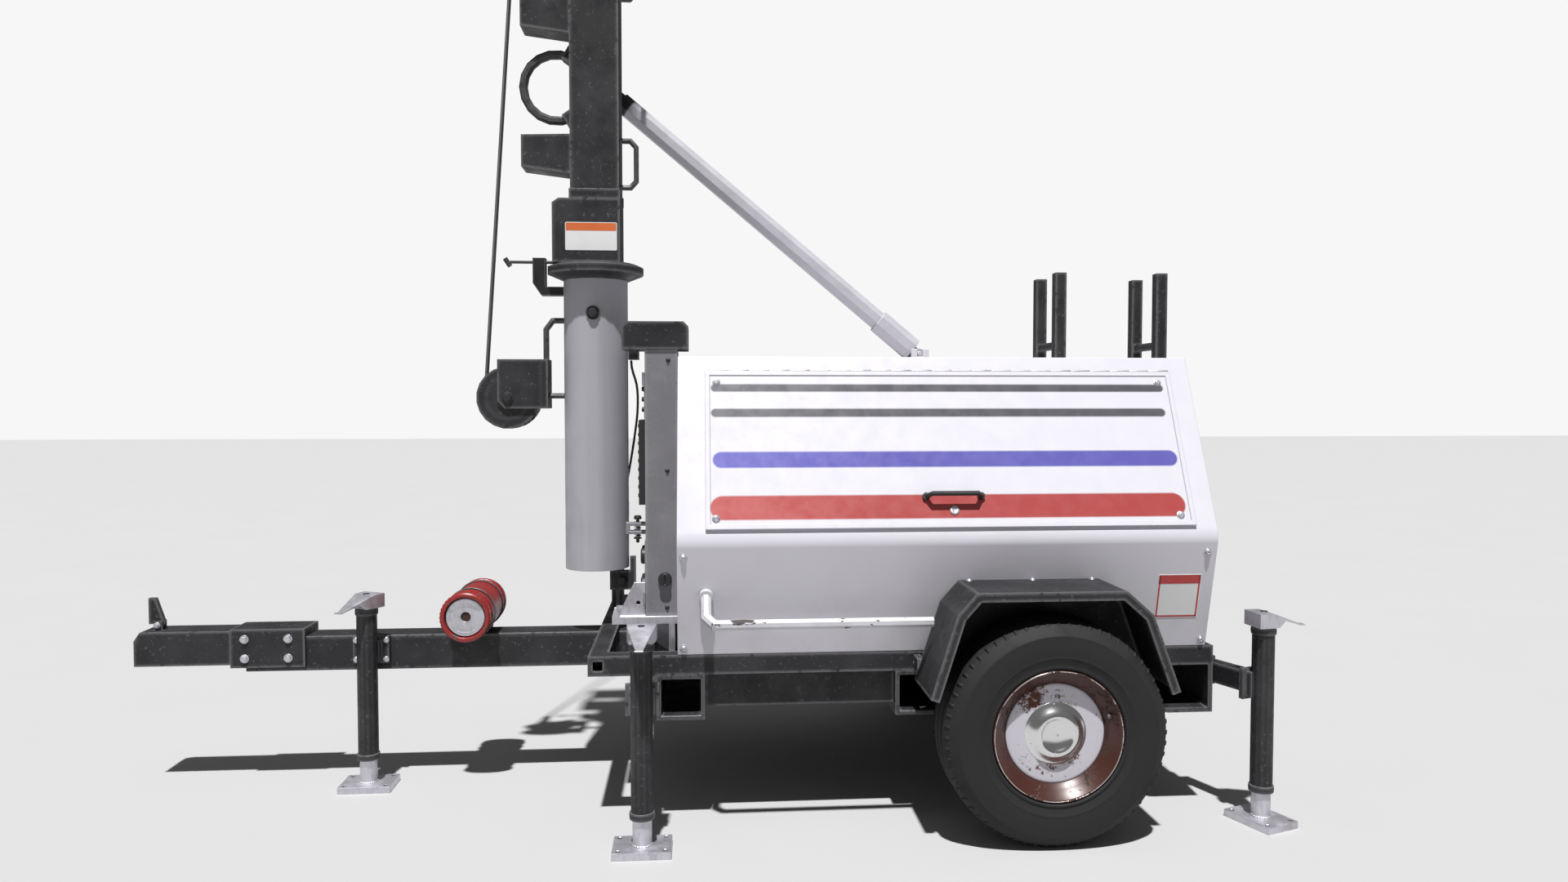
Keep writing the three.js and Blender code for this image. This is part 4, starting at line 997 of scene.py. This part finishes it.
def make_winch_details():
    """Bolts, ratchet gear, rope turns and the crank on the far cheek."""
    x, z = WINCH_AXIS
    bolts = Shape()
    for sign in (-1, 1):
        hex_bolt(bolts, facing((x, sign * 0.0449, z), (0, sign, 0)), 0.024, 0.009)
    bolts.finish("winch_bolts", "mast", "black")
    gear = Shape()
    teeth = []
    for i in range(RATCHET_TEETH):
        for share, radius in ((0.0, 0.0905), (0.25, 0.0905), (0.45, 0.0975), (0.75, 0.0975)):
            angle = 2 * math.pi * (i + share) / RATCHET_TEETH
            teeth.append((radius * math.cos(angle), radius * math.sin(angle)))
    gear.outline(teeth, 0.0362, 0.0382, facing((x, 0.0, z), (0, 1, 0)))
    gear.finish("winch_gear", "winch_drum", "frame", 0.0004)
    rope = Shape()
    turns, steps = ROPE_TURNS, 32
    wound = []
    for i in range(turns * steps + 1):
        angle = 2 * math.pi * i / steps
        y = -0.0262 + 0.0524 * i / (turns * steps)
        wound.append((x + ROPE_LAY * math.cos(angle), y, z + ROPE_LAY * math.sin(angle)))
    rope.tube(wound, 0.0030, 6)
    rope.finish("winch_rope_turns", "winch_drum", "rope")
    px, pz = -0.520, 1.262
    reach = 0.146
    way = Vector((-0.68, 0.0, -0.733)).normalized()
    crank = Shape()
    crank.tube([(px, 0.044, pz), (px, 0.080, pz)], 0.0085, 16)
    turned = Matrix(((way.x, 0, -way.z, px), (0, 1, 0, 0), (way.z, 0, way.x, pz), (0, 0, 0, 1)))
    crank.block((-0.014, 0.0720, -0.011), (reach, 0.0790, 0.011), turned)
    crank.finish("winch_crank_arm", "mast", "steel", 0.0012)
    grip = Shape()
    profile = [
        (0.006, 0.0), (0.012, 0.001), (0.0145, 0.010), (0.0135, 0.030), (0.0150, 0.060), (0.0155, 0.080)
    ]
    held = Vector((px, 0.079, pz)) + way * (reach - 0.012)
    grip.lathe(profile + [(0.012, 0.090), (0.004, 0.092)], facing(held, (0, 1, 0)), 32)
    grip.finish("winch_crank_grip", "mast", "black")


# ---- Jacks, hitch and chassis details ----
JACK_PLACES = {
    "tongue_jack": (-1.000, -0.103),
    "front_jack_near": (-0.138, -0.639),
    "front_jack_far": (-0.138, 0.639),
    "rear_jack_near": (1.590, -0.579),
    "rear_jack_far": (1.590, 0.579),
}


def make_jack_details():
    for label, (x, y) in JACK_PLACES.items():
        end, _, side = label.partition("_jack_")
        home = f"{end}_arm_{side}" if side else "chassis"
        rings = Shape()
        for z in (0.092, 0.538):
            rings.lathe(
                [
                    (0.0285, z - 0.003), (0.0330, z - 0.002), (0.0340, z + 0.008), (0.0330, z + 0.016),
                    (0.0285, z + 0.017)
                ],
                at(x, y, 0), 32, whole=True
            )
        rings.finish(f"{label}_collars", home, "frame", 0.0006)
        weld = Shape()
        bead = []
        for i in range(97):
            angle = 2 * math.pi * i / 96
            ripple = 0.0006 * math.sin(24 * angle)
            bead.append(
                (
                    x + (0.0265 + ripple) * math.cos(angle), y + (0.0265 + ripple) * math.sin(angle),
                    0.0215 + ripple
                )
            )
        weld.tube(bead, 0.0028, 6)
        weld.finish(f"{label}_foot_weld", f"{label}_leg", "steel")
        knob = Shape()
        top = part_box(f"{label}_handle")[1].z
        knob.lathe(
            [(0.0100, -0.002), (0.0100, 0.0012), (0.0050, 0.0014), (0.0046, 0.0024), (0.0020, 0.0028)],
            at(x, y, top), 24
        )
        knob.finish(f"{label}_crank_bolt", f"{label}_handle", "black")


def make_hitch_details():
    bolts = Shape()
    for x in (-1.380, -1.250):
        for side in (-1, 1):
            for z in (0.395, 0.455):
                hex_bolt(bolts, facing((x, side * 0.060, z), (0, side, 0)), 0.017, 0.008)
    hex_bolt(bolts, facing((-1.655, -0.0195, 0.494), (0, -1, 0)), 0.013, 0.006)
    hex_bolt(bolts, facing((-1.655, 0.0195, 0.494), (0, 1, 0)), 0.013, 0.006)
    for side in (-1, 1):
        for dx in (-0.044, 0.046):
            hex_bolt(bolts, facing((-1.000 + dx, -0.066, 0.4175 + side * 0.030), (0, -1, 0)), 0.012, 0.006)
    bolts.finish("hitch_bolts", "chassis", "steel")


def make_chassis_details():
    seams = Shape()
    for side in (-1, 1):
        for x in (-0.240, 0.470, 0.525, 1.441):
            route = [(x, side * 0.4192, 0.4275 + 0.010 * i) for i in range(6)]
            seams.tube(route, 0.0030, 6)
        for x in (-0.1055, 0.030, 0.566, 0.705):
            route = [(x + 0.0005, side * (0.425 + 0.0098 * i), 0.4247) for i in range(6)]
            seams.tube(route, 0.0026, 6)
    seams.finish("weld_seams", "chassis", "frame")
    bolts = Shape()
    for side in (-1, 1):
        for x in (0.627, 1.263):
            hex_bolt(bolts, facing((x, side * 0.4755, 0.4485), (0, side, 0)), 0.013, 0.006)
        for x in (0.760, 0.940, 1.110):
            dome_screw(bolts, facing((x, side * 0.5375, 0.6885), (0, 0, 1)), 0.0060, 0.0040)
    bolts.finish("fender_bolts", "chassis", "steel")


# ---- Enclosure details ----
HINGE_BARRELS = 23
HINGE_PITCH = 0.0595
HINGE_GAP = 0.001


def make_door_details():
    for side in SIDES:
        sign = SIDES[side]
        hinge = Shape()
        for i in range(HINGE_BARRELS):
            x0 = 0.040 + HINGE_PITCH * i
            barrel = [(x0, 0.0, 0.0), (x0 + HINGE_PITCH - HINGE_GAP, 0.0, 0.0)]
            place = at(0, sign * 0.3452, 1.2748)
            hinge.tube(barrel, 0.0034, 12, place)
        hinge.finish(f"door_hinge_{side}", "chassis", "steel")
        inside = Shape()
        place = door_place(side, 0.7205, 0.2385, -0.0010)
        for x0, x1, y0, y1 in (
            (-0.655, 0.655, -0.212, -0.190), (-0.655, 0.655, 0.190, 0.212), (-0.655, -0.633, -0.190, 0.190),
            (0.633, 0.655, -0.190, 0.190), (-0.012, 0.012, -0.190, 0.190)
        ):
            left, right = sorted((-sign * x0, -sign * x1))
            inside.block((left, y0, -0.012), (right, y1, 0.0006), place)
        inside.finish(f"door_inner_frame_{side}", f"door_{side}", "body", 0.0012)
        seal = Shape()
        edge = [(-0.676, -0.226), (0.676, -0.226), (0.676, 0.226), (-0.676, 0.226), (-0.676, -0.226)]
        for a, b in zip(edge, edge[1:]):
            seal.tube([(a[0], a[1], -0.0018), (b[0], b[1], -0.0018)], 0.0022, 8, place)
        seal.finish(f"door_seal_{side}", f"door_{side}", "black")
        lock = Shape()
        lock.lathe(
            [
                (0.0130, -0.0005), (0.0130, 0.0022), (0.0115, 0.0032), (0.0065, 0.0032), (0.0060, 0.0022),
                (0.0020, 0.0022)
            ],
            door_place(side, 0.722, 0.427), 32
        )
        lock.finish(f"door_lock_{side}", f"door_{side}", "steel")


def louvre_panel(shape, slats, place, width, height, count):
    """A pressed frame with sloping slats; local X across, local Y up and local Z outwards."""
    w, h = width / 2, height / 2
    for x0, x1, y0, y1 in (
        (-w, w, -h, 0.014 - h), (-w, w, h - 0.014, h), (-w, 0.014 - w, -h, h), (w - 0.014, w, -h, h)
    ):
        shape.block((x0, y0, -0.0005), (x1, y1, 0.0050), place)
    pitch = (height - 0.036) / count
    for i in range(count):
        y = 0.018 - h + pitch * (i + 0.5)
        slat = [
            (y + pitch * 0.45, 0.0006), (y + pitch * 0.45, 0.0020), (y - pitch * 0.35, 0.0100),
            (y - pitch * 0.42, 0.0090)
        ]
        side = place @ Matrix(((0, 0, 1, 0), (1, 0, 0, 0), (0, 1, 0, 0), (0, 0, 0, 1)))
        slats.outline(slat, 0.013 - w, w - 0.013, side)


def upright_frame(place, outward, across):
    """Local X across, local Y up, local Z outwards."""
    columns = (Vector(across), Vector((0, 0, 1)), Vector(outward))
    rows = [[columns[c][r] for c in range(3)] + [place[r]] for r in range(3)]
    return Matrix(rows + [[0, 0, 0, 1]])


def make_vents_and_lamps():
    frames = Shape()
    slats = Shape()
    # Painted shade: near-black sheets under the louvre slats stand for the dark inside of the vents.
    vent_shade_sheets = Shape()
    rear = upright_frame((1.472, 0.0, 0.900), (1, 0, 0), (0, 1, 0))
    louvre_panel(frames, slats, rear, 0.560, 0.360, 14)
    vent_shade_sheets.block((-0.270, -0.170, 0.0002), (0.270, 0.170, 0.0008), rear)
    front = upright_frame((-0.047, 0.120, 0.900), (-1, 0, 0), (0, -1, 0))
    louvre_panel(frames, slats, front, 0.380, 0.300, 12)
    vent_shade_sheets.block((-0.180, -0.140, 0.0002), (0.180, 0.140, 0.0008), front)
    frames.finish("vent_frames", "chassis", "body", 0.0010)
    slats.finish("vent_slats", "chassis", "body", 0.0004)
    vent_shade_sheets.finish("vent_painted_shade", "chassis", "dark")
    housings = Shape()
    lenses = Shape()
    for side in (-1, 1):
        place = upright_frame((1.496, side * 0.395, 0.4525), (1, 0, 0), (0, 1, 0))
        corners = []
        for cx, cy, start in (
            (0.048, 0.013, 0), (-0.048, 0.013, 90), (-0.048, -0.013, 180), (0.048, -0.013, 270)
        ):
            corners += arc((cx, cy), 0.008, start, start + 90, 5)
        housings.outline(corners, -0.0004, 0.0060, place)
        small = [(x * 0.92, y * 0.86) for x, y in corners]
        lenses.outline(small, 0.0055, 0.0085, place)
        reflector = facing((1.4725, side * 0.430, 0.520), (1, 0, 0))
        lenses.lathe([(0.026, -0.0005), (0.026, 0.0030), (0.022, 0.0050), (0.004, 0.0056)], reflector, 32)
    housings.finish("tail_lamp_housings", "chassis", "black", 0.0008)
    lenses.finish("tail_lamp_lenses", "chassis", "lens_red", 0.0008)


def make_cabinet_details():
    door = Shape()
    place = upright_frame((-0.142, -0.2425, 0.930), (-1, 0, 0), (0, -1, 0))
    for x0, x1, y0, y1 in ((-0.066, 0.066, 0.205, 0.330), (-0.066, 0.066, -0.340, -0.150)):
        door.block((x0, y0, -0.0005), (x1, y1, 0.0030), place)
    for y in (-0.320, 0.320):
        door.tube([(0.0705, y - 0.020, 0.004), (0.0705, y + 0.020, 0.004)], 0.0045, 12, place)
    door.finish("cabinet_cover_plates", "chassis", "cabinet", 0.0010)
    sockets = Shape()
    for y in (-0.200, -0.285):
        for x in (-0.031, 0.031):
            lid = [(0.0235, 0.0025), (0.0235, 0.0120), (0.0215, 0.0150), (0.0190, 0.0158), (0.0040, 0.0158)]
            sockets.lathe(lid, place @ at(x, y, 0), 32)
    for y in (0.232, 0.262, 0.292):
        sockets.lathe(
            [(0.0095, 0.0025), (0.0095, 0.0050), (0.0070, 0.0060), (0.0068, 0.0110), (0.0020, 0.0115)],
            place @ at(0.030, y, 0), 24
        )
    sockets.finish("cabinet_sockets_and_switches", "chassis", "black", 0.0004)
    panel = Shape()
    panel.block((-0.1614, -0.3014, 0.8836), (-0.1418, -0.1836, 1.1314))
    for i in range(9):
        z = 0.905 + 0.0255 * i
        panel.block((-0.1640, -0.290, z), (-0.1610, -0.195, z + 0.010))
    panel.finish("cabinet_front_grille", "chassis", "black", 0.0008)


# ---- Engine bay ----
ALONG = (1, 0, 0)
FAN_BLADES = 8


def drum(shape, x0, x1, y, z, radius, dome=0.006):
    """A canister along the body with rounded ends."""
    length = x1 - x0
    profile = [(radius * 0.5, 0.0), (radius - dome, dome * 0.2), (radius, dome), (radius, length - dome)]
    profile += [(radius - dome, length - dome * 0.2), (radius * 0.5, length)]
    shape.lathe(profile, facing((x0, y, z), ALONG), 40)


def pulley(shape, x, y, z, radius):
    profile = [
        (radius * 0.9, 0.0), (radius, 0.001), (radius, 0.005), (radius * 0.90, 0.009),
        (radius * 0.90, 0.013)
    ]
    profile += [
        (radius, 0.017), (radius, 0.021), (radius * 0.9, 0.022), (radius * 0.3, 0.020),
        (radius * 0.3, 0.026)
    ]
    shape.lathe(profile, facing((x, y, z), ALONG), 36)


def belt_route(x, wheels):
    """Points round the outside of the wheels, which are given as y, z and radius, in turning order."""
    route = []
    for i, (y, z, radius) in enumerate(wheels):
        before, after = wheels[i - 1], wheels[(i + 1) % len(wheels)]
        start = math.atan2(z - before[1], y - before[0]) - math.pi / 2
        end = math.atan2(after[1] - z, after[0] - y) - math.pi / 2
        while end < start:
            end += 2 * math.pi
        for step in range(9):
            angle = start + (end - start) * step / 8
            route.append((x, y + radius * math.cos(angle), z + radius * math.sin(angle)))
    return route + route[:1]


def make_engine_front():
    metal = Shape()
    pulley(metal, 1.1505, 0.0, 0.600, 0.062)
    pulley(metal, 1.1505, -0.205, 0.790, 0.030)
    drum(metal, 1.062, 1.1505, -0.205, 0.790, 0.052)
    metal.block((1.070, -0.160, 0.770), (1.140, -0.148, 0.800))
    metal.finish("engine_pulleys", "chassis", "steel", 0.0008)
    belt = Shape()
    belt.tube(
        belt_route(1.1615, [(0.0, 0.600, 0.060), (0.0, 0.760, 0.064), (-0.205, 0.790, 0.029)]), 0.0055, 8
    )
    belt.finish("engine_belt", "chassis", "sheath")
    fan = Shape()
    fan.lathe(
        [(0.058, 0.0), (0.058, 0.018), (0.046, 0.024), (0.010, 0.024)], facing((1.1945, 0, 0.760), ALONG),
        36
    )
    for i in range(FAN_BLADES):
        turn = Matrix.Rotation(2 * math.pi * i / FAN_BLADES, 4, "X")
        place = at(1.206, 0, 0.760) @ turn
        rings = []
        for radius, chord, lean in ((0.050, 0.030, 0.012), (0.110, 0.044, 0.009), (0.182, 0.050, 0.006)):
            front = [(-lean, -chord / 2, radius), (lean, chord / 2, radius)]
            rings.append(front + [(lean + 0.002, chord / 2, radius), (0.002 - lean, -chord / 2, radius)])
        fan.skin(rings, True, place)
    fan.finish("engine_fan", "chassis", "black", 0.0004)
    hoses = Shape()
    hoses.tube(
        curve([(1.120, 0.060, 0.930), (1.150, 0.090, 0.985), (1.230, 0.140, 1.020), (1.292, 0.160, 1.050)]),
        0.019, 16
    )
    hoses.tube(
        curve([(1.148, 0.115, 0.620), (1.185, 0.180, 0.590), (1.240, 0.235, 0.560), (1.292, 0.240, 0.555)]),
        0.019, 16
    )
    hoses.finish("radiator_hoses", "chassis", "sheath")
    clips = Shape()
    for centre, way in (((1.281, 0.157, 1.043), (1, 0.25, 0.45)), ((1.280, 0.239, 0.556), (1, 0.1, -0.05))):
        clips.lathe(
            [(0.0185, 0), (0.0208, 0.0004), (0.0208, 0.0106), (0.0185, 0.011)], facing(centre, way), 28,
            whole=True
        )
    clips.lathe(
        [(0.030, 0), (0.0345, 0.001), (0.0345, 0.012), (0.027, 0.016), (0.004, 0.017)],
        at(1.320, 0, 1.1495), 32
    )
    clips.finish("radiator_cap_and_clips", "chassis", "steel")


def make_engine_sides():
    silencer = Shape()
    drum(silencer, 0.797, 1.083, -0.190, 0.930, 0.0612, 0.014)
    for x in (0.850, 1.020):
        silencer.lathe([(0.0605, 0), (0.0632, 0.0006), (0.0632, 0.0154), (0.0605, 0.016)],
                       facing((x, -0.190, 0.930), ALONG), 40, whole=True)
    silencer.tube(
        curve(
            [(0.802, -0.190, 0.930), (0.765, -0.190, 0.930), (0.742, -0.190, 0.905), (0.740, -0.190, 0.860)]
        ),
        0.021, 20
    )
    silencer.finish("silencer", "chassis", "exhaust")
    filters = Shape()
    drum(filters, 0.752, 0.790, 0.0, 0.975, 0.0500, 0.006)
    drum(filters, 1.082, 1.118, 0.0, 0.975, 0.0500, 0.006)
    filters.lathe([(0.043, 0.0), (0.044, 0.004), (0.044, 0.080), (0.038, 0.092), (0.014, 0.094)],
                  facing((0.900, 0.1495, 0.650), (0, 1, 0)), 36)
    filters.finish("engine_filters", "chassis", "black")
    bands = Shape()
    for x in (0.830, 1.030):
        bands.lathe(
            [(0.0475, 0), (0.0492, 0.0005), (0.0492, 0.0145), (0.0475, 0.015)],
            facing((x, 0, 0.975), ALONG), 40, whole=True
        )
    for x in (0.775, 0.860, 1.000, 1.095):
        for side in (-1, 1):
            hex_bolt(bands, at(x, side * 0.088, 0.9395), 0.016, 0.010)
    for x in (0.745, 0.850, 0.955, 1.060, 1.130):
        for side in (-1, 1):
            if side > 0 or x < 0.8 or x > 1.1:
                hex_bolt(bands, facing((x, side * 0.1498, 0.560), (0, side, 0)), 0.014, 0.007)
    bands.block((0.800, 0.1495, 0.730), (0.990, 0.196, 0.790))
    for i in range(4):
        x = 0.822 + 0.048 * i
        bands.tube(
            curve(
                [(x, 0.175, 0.788), (x, 0.178, 0.850), (x + 0.01, 0.140, 0.925), (x + 0.012, 0.098, 0.938)]
            ),
            0.0032, 8
        )
    bands.finish("engine_bolts_and_lines", "chassis", "steel", 0.0008)
    starter = Shape()
    drum(starter, 0.728, 0.860, 0.188, 0.600, 0.040)
    drum(starter, 0.745, 0.815, 0.188, 0.662, 0.022)
    starter.finish("starter_motor", "chassis", "black")


def make_generator_details():
    rings = Shape()
    for x in (0.362, 0.520, 0.680):
        rings.lathe([(0.1640, 0), (0.1672, 0.001), (0.1672, 0.015), (0.1640, 0.016)],
                    facing((x, 0, 0.700), ALONG), 56, whole=True)
    for i in range(8):
        angle = 2 * math.pi * (i + 0.5) / 8
        place = facing((0.3605, 0.146 * math.cos(angle), 0.700 + 0.146 * math.sin(angle)), (-1, 0, 0))
        hex_bolt(rings, place, 0.014, 0.008)
    for x in (0.436, 0.584):
        for y in (-0.076, 0.076):
            dome_screw(rings, at(x, y, 0.9298), 0.0050, 0.0035)
    rings.finish("generator_bands", "chassis", "alternator", 0.0006)
    # Painted shade: near-black strips on the generator's end faces stand for the dark inside of its vent
    # slots.
    vents = Shape()
    for i in range(9):
        vents.block((0.3592, -0.070 + 0.0165 * i, 0.640), (0.3612, -0.062 + 0.0165 * i, 0.760))
        vents.block((0.3290, -0.070 + 0.0165 * i, 0.640), (0.3304, -0.062 + 0.0165 * i, 0.760))
    vents.finish("generator_vent_shade", "chassis", "dark")
    cables = Shape()
    for shift in (-0.035, 0.0, 0.035):
        route = [
            (0.422, shift, 0.885), (0.385, shift, 0.892), (0.300, shift - 0.05, 0.900),
            (0.150, shift - 0.15, 0.870)
        ]
        cables.tube(curve(route + [(0.020, shift - 0.21, 0.905), (-0.036, shift - 0.23, 0.940)]), 0.0085, 12)
        cables.lathe(
            [(0.014, 0), (0.014, 0.012), (0.011, 0.016), (0.0095, 0.024)],
            facing((0.4205, shift, 0.885), (-1, 0, 0)), 16
        )
    cables.finish("generator_cables", "chassis", "sheath")


def make_tank_and_battery_details():
    caps = Shape()
    caps.lathe(
        [(0.0405, -0.012), (0.0440, -0.011), (0.0440, 0.012), (0.0400, 0.018), (0.0060, 0.019)],
        at(0.130, -0.250, 0.880), 36
    )
    for i in range(6):
        caps.lathe(
            [(0.0105, -0.001), (0.0105, 0.004), (0.0085, 0.0055), (0.002, 0.0055)],
            at(1.090, 0.262 + 0.031 * i, 0.702), 20
        )
    caps.finish("tank_and_battery_caps", "chassis", "black", 0.0005)
    straps = Shape()
    for y in (-0.330, 0.330):
        outline = [
            (-0.0215, 0.497), (-0.0215, 0.8006), (0.0194, 0.8415), (0.2506, 0.8415), (0.2915, 0.8006),
            (0.2915, 0.497)
        ]
        inner = [
            (0.2900, 0.497), (0.2900, 0.8000), (0.2500, 0.8400), (0.0200, 0.8400), (-0.0200, 0.8000),
            (-0.0200, 0.497)
        ]
        side = Matrix(((1, 0, 0, 0), (0, 0, 1, y), (0, 1, 0, 0), (0, 0, 0, 1)))
        straps.outline(outline + inner, -0.015, 0.015, side)
    straps.block((1.130, 0.2385, 0.7015), (1.150, 0.270, 0.7035))
    for sign in (-1, 1):
        y = 0.340 + sign * 0.060
        straps.block((1.124, y - 0.015, 0.7050), (1.156, y + 0.015, 0.7170))
        hex_bolt(straps, facing((1.156, y, 0.711), ALONG), 0.010, 0.007, False)
    straps.finish("tank_straps_and_terminals", "chassis", "steel", 0.0005)
    for sign, label, paint in ((-1, "live", "crimson"), (1, "earth", "sheath")):
        lead = Shape()
        y = 0.340 + sign * 0.060
        route = [
            (1.126, y, 0.712), (1.095, y - 0.004, 0.735), (1.020, y - 0.05, 0.690),
            (0.900, 0.245, 0.640 + 0.02 * sign)
        ]
        lead.tube(curve(route + [(0.800, 0.215, 0.660 + 0.012 * sign)]), 0.0060, 12)
        lead.finish(f"battery_lead_{label}", "chassis", paint)


make_camera()
make_light()
make_floor()
dress_all()
make_wheels()
make_screws()
make_plates()
make_catch_spring()
make_canister()
make_mast_details()
make_winch_details()
make_jack_details()
make_hitch_details()
make_chassis_details()
make_door_details()
make_vents_and_lamps()
make_cabinet_details()
make_engine_front()
make_engine_sides()
make_generator_details()
make_tank_and_battery_details()
